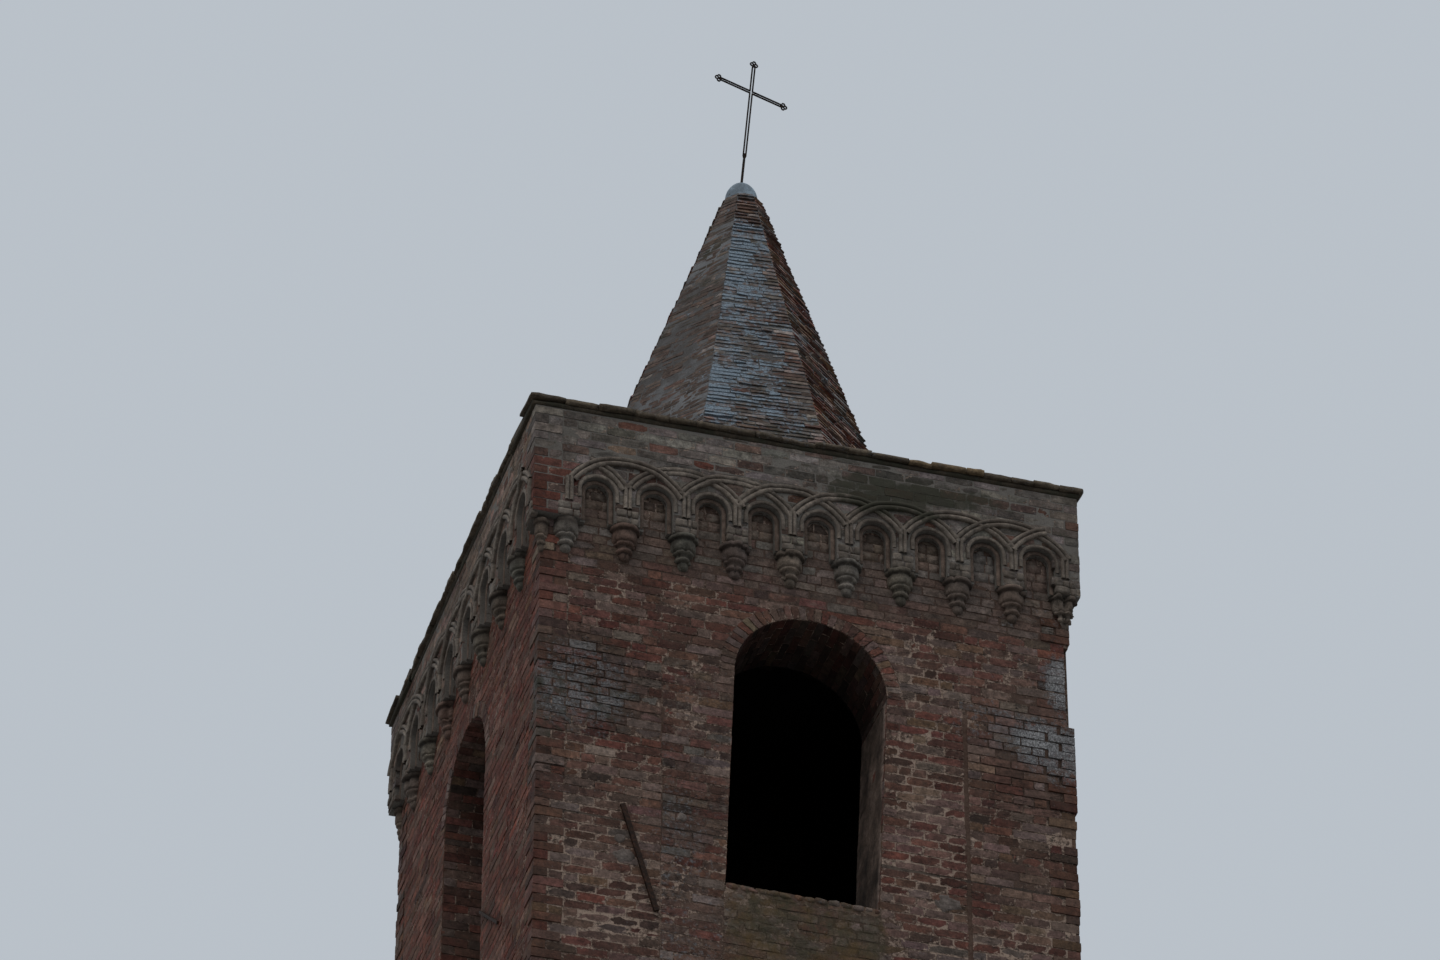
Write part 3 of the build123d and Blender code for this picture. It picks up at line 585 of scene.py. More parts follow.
def mortar(name, dark=None, pale=None, low=0.44, high=0.60, stains=()):
    g = Nodes(name)
    if dark is None:
        c, mid, fine = joints_colour(g)
    else:
        mid = g.noise(9.0, 7, 0.7)
        fine = g.noise(90.0, 4, 0.7)
        w = g.math("ADD", g.math("MULTIPLY", g.noise(1.3, 4, 0.6), 0.75), g.math("MULTIPLY", mid, 0.4))
        c = g.mix(g.remap(w, low, high), dark, pale)
        c = g.mix(1.0, c, g.ramp(fine, (0.25, 0.65), (0.75, 1.3)), "MULTIPLY")
        c = g.mix(g.remap(g.noise(24.0, 6, 0.7), 0.58, 0.72, 0.0, 0.7), c, SOOT)
    if stains:
        d = g.math("ADD", g.noise(6.5, 7, 0.7), spread(g, stains))
        c = g.mix(g.remap(d, 0.66, 0.95, 0.0, 0.88), c, g.mix(mid, MOSS, SOOT))
    return g.finish(c, g.math("ADD", g.math("MULTIPLY", mid, 1.5), fine), 0.006, 0.9, 0.95)


BRICK = masonry("brick_weathered", smear=True, bump=0.0065, streaks=0.16, crusts=CRUSTS, olive=True)
STONE = masonry("terracotta_weathered", grain=85.0, bump=0.003, pits=0.30, stains=((0.75, 4.24, 0.60, 0.15, 0.27), (1.50, 4.22, 0.40, 0.12, 0.18)))
RENDER = masonry("render_weathered", grain=60.0, bump=0.005, pits=0.30)
SPIRE = masonry("spire_brick_weathered", grain=75.0, bump=0.007, pits=0.50, crust=21.0,
                lichens=((0.274, 0.366, 0.450), (0.56, 0.65, 0.73)), broad=0.15, patches=0.95, streaks=0.25)
SOFFIT = masonry("brick_sheltered", pits=0.3, broad=0.0)
PARAPET = masonry("brick_parapet", smear=True, lime=(0.195, 0.186, 0.170), broad=0.15, bump=0.005, streaks=0.30, patches=0.10,
                  stains=STAINS)
BED = mortar("mortar_bed", (0.060, 0.055, 0.040), (0.16, 0.145, 0.115), 0.40, 0.75)


# near-black painted shade for the inside of the chamber: its floor and its bricks
def inside_dark():
    g = Nodes("chamber_plaster_painted_shade")
    mid = g.noise(4.0, 7, 0.7)
    fine = g.noise(50.0, 4, 0.7)
    c = g.mix(g.remap(mid, 0.35, 0.7), (0.006, 0.005, 0.005), (0.016, 0.013, 0.011))
    c = g.mix(1.0, c, g.ramp(fine, (0.25, 0.7), (0.75, 1.3)), "MULTIPLY")
    return g.finish(c, g.math("ADD", mid, fine), 0.006, 0.8, 0.96, spec=0.05)


def wall_core():
    """Mortar outside; inside the chamber, near-black painted shade."""
    g = Nodes("wall_core")
    c, mid, fine = joints_colour(g)
    x, y, z = g.xyz()
    reach = g.math("MAXIMUM", g.math("ABSOLUTE", x), g.math("ABSOLUTE", y))
    chamber_shade_mask = g.remap(reach, 1.70, 1.95, 1.0, 0.0)
    c = g.mix(chamber_shade_mask, c, g.mix(g.remap(mid, 0.35, 0.7), (0.006, 0.005, 0.005), (0.018, 0.014, 0.012)))
    h = g.math("ADD", g.math("MULTIPLY", mid, 1.5), fine)
    return g.finish(c, h, 0.006, 0.9, 0.95)


def slab():
    """The roof slab: mortar where it meets the weather, near-black painted shade where it closes the chamber."""
    g = Nodes("roof_slab_mortar")
    mid = g.noise(8.0, 7, 0.7)
    fine = g.noise(80.0, 4, 0.7)
    x, y, z = g.xyz()
    c = g.mix(g.remap(mid, 0.4, 0.7), (0.075, 0.068, 0.052), (0.18, 0.165, 0.135))
    c = g.mix(g.remap(z, TOP - 0.10, TOP - 0.02, 1.0, 0.0), c, g.mix(mid, (0.004, 0.004, 0.004), (0.012, 0.010, 0.009)))
    return g.finish(c, g.math("ADD", mid, fine), 0.006, 0.8, 0.96, spec=0.1)


CORE = wall_core()
DARK = inside_dark()
SLAB = slab()


def iron(name, dark, rust):
    g = Nodes(name)
    a = g.noise(30.0, 6, 0.7)
    b = g.noise(160.0, 4, 0.7)
    c = g.mix(g.remap(a, 0.42, 0.68), dark, rust)
    c = g.mix(1.0, c, g.ramp(b, (0.3, 0.75), (0.7, 1.3)), "MULTIPLY")
    return g.finish(c, g.math("ADD", a, b), 0.0012, 0.8, g.ramp(a, (0.3, 0.6), (0.7, 0.85)), spec=0.12)


IRON = iron("wrought_iron_rust", (0.011, 0.009, 0.008), (0.034, 0.018, 0.012))
TIE = iron("tie_iron_rust", (0.020, 0.013, 0.010), (0.062, 0.032, 0.022))


def cap_mortar():
    g = Nodes("cap_mortar")
    a = g.noise(7.0, 7, 0.68)
    b = g.noise(60.0, 5, 0.7)
    c = g.mix(g.remap(a, 0.36, 0.66), (0.158, 0.200, 0.240), (0.310, 0.400, 0.480))
    c = g.mix(g.remap(g.noise(15.0, 7, 0.7), 0.56, 0.68, 0.0, 0.8), c, (0.055, 0.052, 0.040))
    c = g.mix(1.0, c, g.ramp(b, (0.3, 0.78), (0.7, 1.2)), "MULTIPLY")
    return g.finish(c, g.math("ADD", g.math("MULTIPLY", a, 2.0), g.math("MULTIPLY", b, 0.5)), 0.008, 0.8, 0.93)


CAP = cap_mortar()

for node, ob in NODES.items():
    ob.data.materials.clear()
    if node in ("cross", "cross_rod"):
        m = IRON
    elif node == "tie_anchors":
        m = TIE
    elif node == "spire_cap":
        m = CAP
    # the belfry floor is painted near-black: painted shade inside the chamber
    elif node in ("belfry_floor",):
        m = DARK
    elif node == "roof_slab":
        m = SLAB
    elif node.startswith(("lower_wall", "belfry_piers", "belfry_head", "narrowing", "sill_", "arch_ring")):
        m = CORE
    elif node.startswith("cornice"):
        m = mortar("cornice_" + node.split("_")[1], (0.112, 0.102, 0.090), (0.188, 0.178, 0.162), 0.36, 0.68,
                   STAINS if node == "cornice_front" else ())
    elif node == "spire":
        m = mortar("spire_core", (0.080, 0.076, 0.074), (0.180, 0.190, 0.200), 0.42, 0.75)
    else:
        m = BED
    ob.data.materials.append(m)

# ---------------------------------------------------------------- colours of the bricks
REDS = np.array([(0.152, 0.065, 0.050), (0.127, 0.055, 0.043), (0.174, 0.078, 0.058), (0.139, 0.063, 0.050)])
BROWNS = np.array([(0.136, 0.075, 0.056), (0.118, 0.067, 0.051), (0.154, 0.088, 0.064), (0.102, 0.059, 0.046)])
GREYS = np.array([(0.120, 0.084, 0.069), (0.102, 0.074, 0.062), (0.138, 0.100, 0.081), (0.086, 0.063, 0.053)])
OCHRES = np.array([(0.160, 0.110, 0.072), (0.144, 0.098, 0.064), (0.178, 0.128, 0.085)])
WEATHERED = np.array([(0.154, 0.157, 0.144), (0.136, 0.139, 0.128), (0.170, 0.171, 0.155), (0.124, 0.126, 0.113)])


def pick(mix):
    """A brick colour; mix gives the shares of red, brown, grey, ochre and, if there is a fifth, washed pale grey."""
    k = rng.choice(len(mix), p=np.array(mix) / sum(mix))
    pal = (REDS, BROWNS, GREYS, OCHRES, WEATHERED)[k]
    m = min(1.65, math.exp(rng.normal() * 0.31))
    c = pal[rng.integers(len(pal))] * m * (0.98, 0.855, 0.835)
    if m > 1:
        c = c + (c.mean() * np.array((1.10, 0.97, 0.90)) - c) * min(0.65, 1.5 * (m - 1))
    return c * (1 + rng.normal(size=3) * 0.03)


def blob(u, z, cu, cz, ru, rz):
    return float(np.exp(-(((u - cu) / ru) ** 2 + ((z - cz) / rz) ** 2)))


def zone(face, u, z):
    """(colour mix, lichen, wash, damp) of the brickwork at a place on a face."""
    s = {"front": 1, "left": 2, "right": 3, "back": 4}[face]
    big = float(fbm2(u * 0.55 + 10 * s, z * 0.45, 5, 3))
    sec = float(fbm2(u * 0.8 + 20 * s, z * 0.8, 9, 3))
    mix = [1.3 + 2.2 * (big - 0.5) * 2, 1.5, 0.7 + 2.0 * (0.5 - big) * 2, 0.22]
    lichen, wash, damp = 0.10 + 0.5 * max(0, sec - 0.52), 0.12 + 0.4 * max(0, big - 0.5), 0.05 + 0.6 * max(0, 0.42 - sec)
    if face == "front":
        r = z - SILL
        lichen += 0.12 * blob(u, r, 2.22, 1.98, 0.28, 0.26) + 0.12 * blob(u, r, 2.32, 2.72, 0.15, 0.28)
        lichen += 0.12 * blob(u, r, -2.1, 1.7, 0.45, 0.45) + 0.18 * blob(u, r, 1.7, 2.2, 0.6, 0.25)
        lichen *= rng.uniform(0.55, 1.25)
        damp += 0.35 * blob(u, r, -2.1, 1.6, 0.55, 0.55) + 0.25 * blob(u, r, -1.2, 0.7, 0.3, 0.5)
        if u < -1.25 and 1.35 < r < 2.45:
            mix = [0.5, 1.0, 1.6, 0.1, 0.18]
        if OLD_L < u < F_SILL_L + 0.1 and -1.5 < r < 2.3:
            mix = [0.55, 1.1, 1.7, 0.2]
            wash += 0.14
            lichen += 0.12
        if r > 3.05:
            grey = float(step(3.05, 3.30, r))
            mix = [1.0 - 0.7 * grey, 1.4, 1.0 + 0.7 * grey, 0.35, 0.5 * grey]
            wash += 0.10 * grey
        if F_SILL_R < u < OLD_R and r < 2.2:
            mix = [1.9, 1.3, 0.35, 0.45]
            wash += 0.05
        if u > OLD_R and -0.2 < r < 1.4:
            mix = [1.0, 1.6, 0.7, 0.6]
        if F_SILL_L - 0.05 < u < F_SILL_R + 0.05 and r < 0:
            mix = [0.2, 1.2, 1.2, 0.9]
            wash += 0.30
            damp += 0.10
        wash += 0.12 * blob(u, r, -1.7, 0.2, 0.6, 0.7) + 0.16 * blob(u, r, 0.1, 3.22, 1.1, 0.22)
    if face == "left":
        mix[0] += 2.4
        mix[2] *= 0.3
        wash *= 0.3
    mix = [max(0.02, m) for m in mix]
    return mix, min(lichen, 1.0), min(wash, 1.0), min(damp, 1.0)


# ---------------------------------------------------------------- laying
JOINT = 0.012
STRETCHER, HEADER, THREE = 0.252, 0.118, 0.185
TALL = (0.0, 20.3)


def wavy(u, z):
    """How far a bed joint strays from level, nothing at the corners and at the ground."""
    fade = np.clip((HALF - abs(u)) / 0.5, 0, 1) * min(1.0, z / 0.5)
    return (float(noise2(u * 0.9 + 3, z * 0.35, 3)) - 0.5) * 0.020 * fade


def lay(face, i, z0, z1, spans, bricks, joints, proud, wear_at, corner_at=at, wave=True, d0=0.0, lengths=None):
    """Lays one course between the ends of each span. A span is (left end at z0, right end at z0, left end at z1,
    right end at z1). joints collects the places of the upright joints, which the next course avoids."""
    below = joints.get("below", [])
    here = []
    n = FACES[face][2] if face in FACES else None
    for l0, r0, l1, r1 in spans:
        a, b = max(l0, l1), min(r0, r1)
        if max(r0 - l0, r1 - l1) < 0.04:
            continue
        cuts = []
        x = a
        while True:
            best = None
            for _ in range(5):
                q = rng.random()
                length = STRETCHER if q < 0.62 else HEADER if q < 0.90 else THREE
                length *= rng.uniform(0.93, 1.06)
                nx_ = x + length + JOINT
                gap = min([abs(nx_ - j) for j in below] or [1])
                if best is None or gap > best[0]:
                    best = (gap, nx_)
                if gap > 0.045:
                    break
            nx_ = best[1]
            if nx_ > b - 0.085:
                break
            cuts.append(nx_)
            x = nx_
        edges = [None] + cuts + [None]
        for k in range(len(edges) - 1):
            lo = (l0, l1) if edges[k] is None else (edges[k] - JOINT / 2,) * 2
            hi = (r0, r1) if edges[k + 1] is None else (edges[k + 1] - JOINT / 2 - JOINT,) * 2
            if edges[k] is not None:
                lo = (edges[k] - JOINT * 0.5, edges[k] - JOINT * 0.5)
            if edges[k + 1] is not None:
                hi = (edges[k + 1] - JOINT * 1.5, edges[k + 1] - JOINT * 1.5)
            if min(hi[0] - lo[0], hi[1] - lo[1]) < 0.0:
                hi = (max(hi[0], lo[0] + 0.004), max(hi[1], lo[1] + 0.004))
            um = (lo[0] + hi[0] + lo[1] + hi[1]) / 4
            zb, zt = z0 + JOINT * rng.uniform(0.3, 0.75), z1 - JOINT * rng.uniform(0.3, 0.75)
            if face == "front" and wave and any(a < um < e for a, e in CRACKED):
                if abs(z1 - CRACK) < 1e-6:
                    zt -= rng.uniform(0.002, 0.012)
                if abs(z0 - CRACK) < 1e-6:
                    zb += rng.uniform(0.0, 0.006)
            w0 = wavy(lo[0], z0) if wave else 0
            w1 = wavy(hi[0], z0) if wave else 0
            mix, lichen, wash, damp = wear_at(face, um, (z0 + z1) / 2)
            p = proud(um, (z0 + z1) / 2)
            if p is None:
                continue
            tilt = rng.normal(size=4) * 0.0012
            c = [corner_at(face, lo[0], zb + w0, d0), corner_at(face, hi[0], zb + w1, d0),
                 corner_at(face, hi[1], zt + w1, d0), corner_at(face, lo[1], zt + w0, d0)]
            col = pick(mix)
            if face == "left":
                col = col * (1.04, 0.81, 0.69)
            if face == "front" and wear_at is zone:
                # greyer and paler under the corbels and at the worn right-hand edge
                grey = 0.50 * float(step(3.02, 3.38, z0 - SILL)) + 0.35 * blob(um, z0 - SILL, 2.2, 2.45, 0.55, 0.75)
                col = col + (np.array((0.146, 0.124, 0.107)) - col) * min(0.6, grey)
            bricks.add(c, n, p + tilt, col, (lichen, wash, damp, rng.random()))
        here += cuts
    joints["below"] = here


# corner bricks: how far each reaches along its two faces in each course
CORNER = {"fl": (-1, -1), "fr": (1, -1), "br": (1, 1), "bl": (-1, 1)}
# for each face, the corner at its left end and at its right end
ENDS = {"front": ("fl", "fr"), "right": ("fr", "br"), "back": ("br", "bl"), "left": ("bl", "fl")}
XAXIS = {"front": True, "back": True, "left": False, "right": False}


def quoins(zs, half, seed, skip=None, proud=(0.004, 0.013), worn=0.16, foot=None, zone_at=None, sloping=False):
    """Corner bricks for a set of courses: returns their reach per course, corner and face, and the meshes."""
    r = np.random.default_rng(seed)
    soup, reach = Soup(), {}
    for i, (z0, z1) in enumerate(zip(zs[:-1], zs[1:])):
        for name, (sx, sy) in CORNER.items():
            long_, short = r.uniform(0.235, 0.262), r.uniform(0.112, 0.125)
            along_x = (i + (name in ("fr", "bl"))) % 2 == 0
            lx, ly = (long_, short) if along_x else (short, long_)
            reach[(i, name)] = (lx, ly)
            gone = r.random() < worn * 0.35
            p = r.uniform(*proud)
            if r.random() < worn:
                p = 0.0015
            if skip and skip(name, (z0 + z1) / 2):
                p, gone = -r.uniform(0.041, 0.050), False
            if gone:
                p = 0.001
            q = p + r.normal() * 0.002
            if skip and skip(name, (z0 + z1) / 2):
                q = 0.005 + r.normal() * 0.002
            hx, hy = half + p, half + q
            zb, zt = z0 + JOINT * r.uniform(0.25, 0.7), z1 - JOINT * r.uniform(0.25, 0.7)
            if foot:
                zb = max(zb, foot[name] + 0.004)
            if sloping:
                zt = min(zt, TOP + lift(sx * half) - 0.004)
            if zt - zb < 0.03:
                continue
            if half < 2.45 and name == "fr" and SILL + 1.4 < (z0 + z1) / 2 < SILL + 2.27:
                hx, hy = half + 0.022, half + 0.018
            cx, cy, cz = sx * (hx - lx / 2), sy * (hy - ly / 2), (zb + zt) / 2
            v, quads = lump((cx, cy, cz), (lx / 2 + 0.002, ly / 2 + 0.002, (zt - zb) / 2 + 0.001),
                            ((1, 0, 0), (0, 1, 0), (0, 0, 1)), (3, 3, 2), 0.0026, i + 7 * (sx + 2 * sy), 0.05)
            f = "front" if sy < 0 else "back"
            u = sx * 2.3 if f == "front" else -sx * 2.3
            mix, lichen, wash, damp = (zone_at or zone)(f, u, cz)
            soup.add(v, quads, pick(mix) * (0.92, 0.88, 0.86), (lichen, wash * 0.5, damp + 0.10, r.random()))
    return soup, reach


def arch_edge(face, z):
    """Half width at height z of the ring's outer edge above the springing."""
    mid, rad = OPENING[face]
    return math.sqrt(max(0.0, (rad + RING + 0.006) ** 2 - (z - SPRING) ** 2))


def jamb(face, z):
    """The two edges of the opening at height z, below the springing."""
    if face != "front":
        mid, rad = OPENING[face]
        return mid - rad, mid + rad
    t = (z - SILL) / (SPRING - SILL)
    return F_SILL_L + t * (F_SPRING_L - F_SILL_L), F_SILL_R + t * (F_SPRING_R - F_SILL_R)


def spans(face, left, right, z0, z1):
    """The stretches of brickwork of one course, from just past the left corner brick to just before the right one."""
    zm = (z0 + z1) / 2
    mid, rad = OPENING[face]
    out = []
    if zm < SILL:
        if face == "front":
            (a0, b0), (a1, b1) = jamb(face, z0), jamb(face, z1)
            g, e = 0.020, rng.uniform(-0.007, 0.007)
            out = [(left, OLD_L - 0.004 + e, left, OLD_L - 0.004 + e), (OLD_L + 0.006 + e, a0 - 0.006, OLD_L + 0.006 + e, a1 - 0.006),
                   (a0 + 0.006, b0 - 0.006, a1 + 0.006, b1 - 0.006),
                   (b0 + 0.006, OLD_R - g + e, b1 + 0.006, OLD_R - g + e), (OLD_R + g, right, OLD_R + g, right)]
        else:
            out = [(left, right, left, right)]
    elif zm < SPRING:
        (a0, b0), (a1, b1) = jamb(face, z0), jamb(face, z1)
        if face == "front":
            g, e = 0.020, rng.uniform(-0.007, 0.007)
            out = [(left, OLD_L - 0.004 + e, left, OLD_L - 0.004 + e), (OLD_L + 0.006 + e, a0, OLD_L + 0.006 + e, a1),
                   (b0, OLD_R - g + e, b1, OLD_R - g + e), (OLD_R + g, right, OLD_R + g, right)]
        else:
            out = [(left, a0, left, a1), (b0, right, b1, right)]
    elif z0 < SPRING + rad + RING:
        e0, e1 = arch_edge(face, z0), arch_edge(face, z1)
        out = [(left, mid - e0, left, mid - e1), (mid + e0, right, mid + e1, right)]
    else:
        out = [(left, right, left, right)]
    return out


def rough_face(face):
    """How far a brick of the shaft stands out from its mortar."""
    s = {"front": 31, "left": 32, "right": 33, "back": 34}[face]

    def proud(u, z):
        q = rng.random()
        p = 0.0042 + 0.005 * (float(fbm2(u * 1.5 + s, z * 1.5, s, 2)) - 0.5) + rng.normal() * 0.0013
        if face == "front":
            r = z - SILL
            p += 0.008 * blob(u, r, -1.9, 2.0, 0.50, 0.50) + 0.009 * blob(u, r, 2.0, 1.85, 0.50, 0.60)
        elif face != "left":
            p += 0.003
        if q < 0.03:
            p = 0.001
        if q > 0.98:
            p += 0.005
        return p
    return proud


# ---------------------------------------------------------------- shaft
def notch(name, z):
    return name == "fr" and SILL + 2.27 < z < ARRIS_TOP


quoin_low, reach_low = quoins(LOW, HALF, 3)
quoin_high, reach_high = quoins(HIGH, HALF, 4, notch)
quoin_low.mesh("corner_bricks_low", BRICK, "brick", False)
quoin_high.mesh("corner_bricks_high", BRICK, "brick", False)


def ends(face, i, reach):
    l, r = ENDS[face]
    k = 0 if XAXIS[face] else 1
    return -HALF + reach[(i, l)][k] + JOINT, HALF - reach[(i, r)][k] - JOINT


for face in FACES:
    proud = rough_face(face)
    for label, zs, reach in (("low", LOW, reach_low), ("high", HIGH, reach_high)):
        b, joints = Bricks(), {}
        for i, (z0, z1) in enumerate(zip(zs[:-1], zs[1:])):
            left, right = ends(face, i, reach)
            lay(face, i, z0, z1, spans(face, left, right, z0, z1), b, joints, proud, zone)
        if label == "low":
            b.mesh("bricks_low_" + face, BRICK, "brick", 1, 1, pillow=0.0, rough=0.001, jitter=0.0015, embed=0.02,
                   round_=0.1, smooth=False, seed=5)
        elif face == "front":
            b.mesh("bricks_high_front", BRICK, "brick", 4, 2, pillow=0.0012, rough=0.0008, jitter=0.0017, round_=0.10, smooth=False, seed=6)
        else:
            b.mesh("bricks_high_" + face, BRICK, "brick", 3, 2, pillow=0.0012, rough=0.0008, jitter=0.0017, round_=0.10, smooth=False, seed=7)

# ---------------------------------------------------------------- arch rings: voussoirs and soffits
for face in FACES:
    mid, rad = OPENING[face]
    b = Bricks()
    n = 35
    for k in range(n):
        a0, a1 = math.pi * (k + 0.07) / n, math.pi * (k + 0.93) / n
        out_r = rad + RING + rng.uniform(-0.008, 0.010)
        pts = [(a1, rad), (a0, rad), (a0, out_r), (a1, out_r)]
        c = [at(face, mid + r_ * math.cos(a), SPRING + r_ * math.sin(a)) for a, r_ in pts]
        b.add(c, FACES[face][2], 0.010 + rng.normal() * 0.002, pick([1.3, 1.2, 0.7, 0.3]),
              (0.15, 0.22, 0.05, rng.random()))
    b.mesh("voussoirs_" + face, BRICK, "arch_brick", 2, 3, pillow=0.0015, rough=0.0012, jitter=0.0025, smooth=False, seed=8)
    s = Bricks()
    rows = 30
    for k in range(rows):
        a0, a1 = math.pi * k / rows + 0.006, math.pi * (k + 1) / rows - 0.006
        cuts = [0.004, 0.25, 0.49, 0.716] if k % 2 else [0.004, 0.13, 0.37, 0.61, 0.716]
        for d0, d1 in zip(cuts[:-1], cuts[1:]):
            am = (a0 + a1) / 2
            ax = FACES[face][1]
            nrm = -(ax * math.cos(am) + ZUP * math.sin(am))
            pts = [(a0, d0), (a0, d1 - 0.010), (a1, d1 - 0.010), (a1, d0)]
            c = [at(face, mid + (rad - 0.001) * math.cos(a), SPRING + (rad - 0.001) * math.sin(a), -d) for a, d in pts]
            # painted shade under the arch: soffit bricks are painted darker, a little on the other faces, much on the
            # front, most of all deeper in
            s.add(c, nrm, 0.005 + rng.normal() * 0.0012, pick([1.2, 1.2, 0.8, 0.2]) * ((0.48 if d0 < 0.2 else 0.27) if face == "front" else 0.85),
                  (0.0, 0.0, 0.30, rng.random()))
    s.mesh("soffit_" + face, SOFFIT, "arch_brick", 2, 1, pillow=0.001, rough=0.001, jitter=0.002, embed=0.02, smooth=False, seed=9)

# ---------------------------------------------------------------- jamb reveals and sill tops
for face in FACES:
    b = Bricks()
    o, ax, n = FACES[face]
    for side in (0, 1):
        nrm = ax if side == 0 else -ax
        for i, (z0, z1) in enumerate(zip(HIGH[:-1], HIGH[1:])):
            if (z0 + z1) / 2 < SILL or (z0 + z1) / 2 > SPRING:
                continue
            u0, u1 = jamb(face, z0)[side], jamb(face, z1)[side]
            cuts = [0.004, 0.125, 0.385, 0.60, 0.716] if (i + side) % 2 else [0.004, 0.25, 0.37, 0.50, 0.716]
            for d0, d1 in zip(cuts[:-1], cuts[1:]):
                zb, zt = max(z0, SILL) + 0.004, min(z1, SPRING) - 0.004
                d1 = d1 - 0.010
                pts = [(d0, u0, zb), (d1, u0, zb), (d1, u1, zt), (d0, u1, zt)]
                if side == 0:
                    pts = pts
                else:
                    pts = [pts[1], pts[0], pts[3], pts[2]]
                c = [at(face, u, z, -d) for d, u, z in pts]
                # painted shade: reveal bricks deeper in are painted darker, much on the front, a little on the other
                # faces
                fade = 1.0 - (0.55 if face == "front" else 0.12) * step(0.15, 0.6, (d0 + d1) / 2)
                b.add(c, nrm, 0.006 + rng.normal() * 0.0015, pick([1.0, 1.3, 1.0, 0.2]) * float(fade),
                      (0.12, 0.2, 0.1, rng.random()))
    b.mesh("reveals_" + face, BRICK, "brick", 2, 1, pillow=0.001, rough=0.001, jitter=0.002, embed=0.02, smooth=False, seed=10)
    # worn stones and mortar along the outer edge of the sill, and bricks behind them
    s = Soup()
    a, e = jamb(face, SILL)
    x = a
    while x < e - 0.03:
        w = rng.uniform(0.05, 0.15)
        w = min(w, e - x)
        h = rng.uniform(0.012, 0.030)
        v, q = lump(at(face, x + w / 2, SILL - 0.010 + h / 2, -0.045), (w / 2, 0.055, h / 2 + 0.014), (ax, n, ZUP),
                    (3, 3, 2), 0.012, int(x * 100) + 50, 0.5)
        s.add(v, q, pick([0.5, 1.2, 1.2, 0.8]) * 1.2, (0.3, 0.35, 0.1, 0.5))
        x += w + rng.uniform(-0.01, 0.012)
    depth = 0.13
    while depth < 0.66:
        x = a
        while x < e - 0.05:
            w = min(rng.uniform(0.11, 0.27), e - x)
            v, q = lump(at(face, x + w / 2, SILL + 0.002, -depth - 0.055), (w / 2 - 0.005, 0.052, 0.010), (ax, n, ZUP),
                        (3, 2, 1), 0.006, int(x * 100) + 90, 0.3)
            s.add(v, q, pick([0.6, 1.2, 1.3, 0.4]), (0.3, 0.3, 0.3, 0.5))
            x += w
        depth += 0.118
    s.mesh("sill_stones_" + face, BRICK, "render")

# ---------------------------------------------------------------- plaster on the front
def sheet(name, place, us, zs, out, tint_at, wear, material):
    """A skin of plaster over the masonry: it dips under the surface all round its ragged edge."""
    nu, nv = len(us), len(zs)
    verts, tints = [], []
    for j, z in enumerate(zs):
        for i, u in enumerate(us):
            rim = i in (0, nu - 1) or j in (0, nv - 1)
            verts.append(place(u, z, -0.016 if rim else out(u, z)))
            tints.append(tint_at(u, z))
    loop = ([i for i in range(nu)] + [j * nu + nu - 1 for j in range(1, nv)]
            + [(nv - 1) * nu + i for i in range(nu - 2, -1, -1)] + [j * nu for j in range(nv - 2, 0, -1)])
    quads = grid_quads(nu, nv)
    a = np.cross(np.subtract(verts[1], verts[0]), np.subtract(verts[nu], verts[0]))
    mid = nu * (nv // 2) + nu // 2
    if np.dot(a, np.subtract(verts[mid], verts[0])) < 0:
        quads, loop = quads[:, ::-1], loop[::-1]
    build(name, verts, [quads, np.array([loop[::-1]])], material, np.array(tints),
          np.repeat(np.array([wear]), len(verts), 0))


def jamb_place(depth, z, out):
    return at("front", jamb("front", z)[1] - out, z, -depth)


def jamb_out(depth, z):
    n = float(fbm2(depth * 8, z * 5, 81, 3))
    edge = float(step(0.004, 0.020 + 0.110 * max(0.0, n - 0.35), depth))
    return -0.010 + 0.019 * edge + 0.009 * (n - 0.5)


def jamb_tint(depth, z):
    n = float(fbm2(depth * 6, z * 3.2, 83, 4))
    m = float(fbm2(depth * 3, z * 4, 85, 3))
    c = np.array((0.100, 0.074, 0.060)) * max(0.25, -0.35 + 2.6 * n) * (0.8 + 0.4 * m)
    edge = float(step(0.10, 0.02, depth)) * float(step(0.35, 0.65, m))
    return c * (1 - edge) + np.array((0.215, 0.165, 0.140)) * edge


sheet("plaster_jamb", jamb_place, np.linspace(0.002, 0.715, 40), np.linspace(SILL + 0.01, SPRING - 0.01, 90),
      jamb_out, jamb_tint, (0.0, 0.05, 0.12, 0.5), RENDER)

for k, (cu, cr, ru, rr) in enumerate(((-1.62, 0.12, 0.10, 0.09), (-1.66, 0.29, 0.06, 0.05), (1.22, 0.20, 0.13, 0.09), (-1.12, 0.62, 0.05, 0.05))):
    sheet("plaster_patch_%d" % k, lambda u, z, d: at("front", u, z, d), np.linspace(cu - 1.5 * ru, cu + 1.5 * ru, 18),
          np.linspace(SILL + cr - 1.5 * rr, SILL + cr + 1.5 * rr, 16),
          lambda u, z: -0.014 + 0.026 * float(step(0.30, 0.60, blob(u, z - SILL, cu, cr, ru, rr) + 0.6 * (float(fbm2(u * 22, z * 22, 91 + k, 3)) - 0.5))),
          lambda u, z: np.array((0.150, 0.128, 0.116)), (0.05, 0.10, 0.05, 0.5), RENDER)

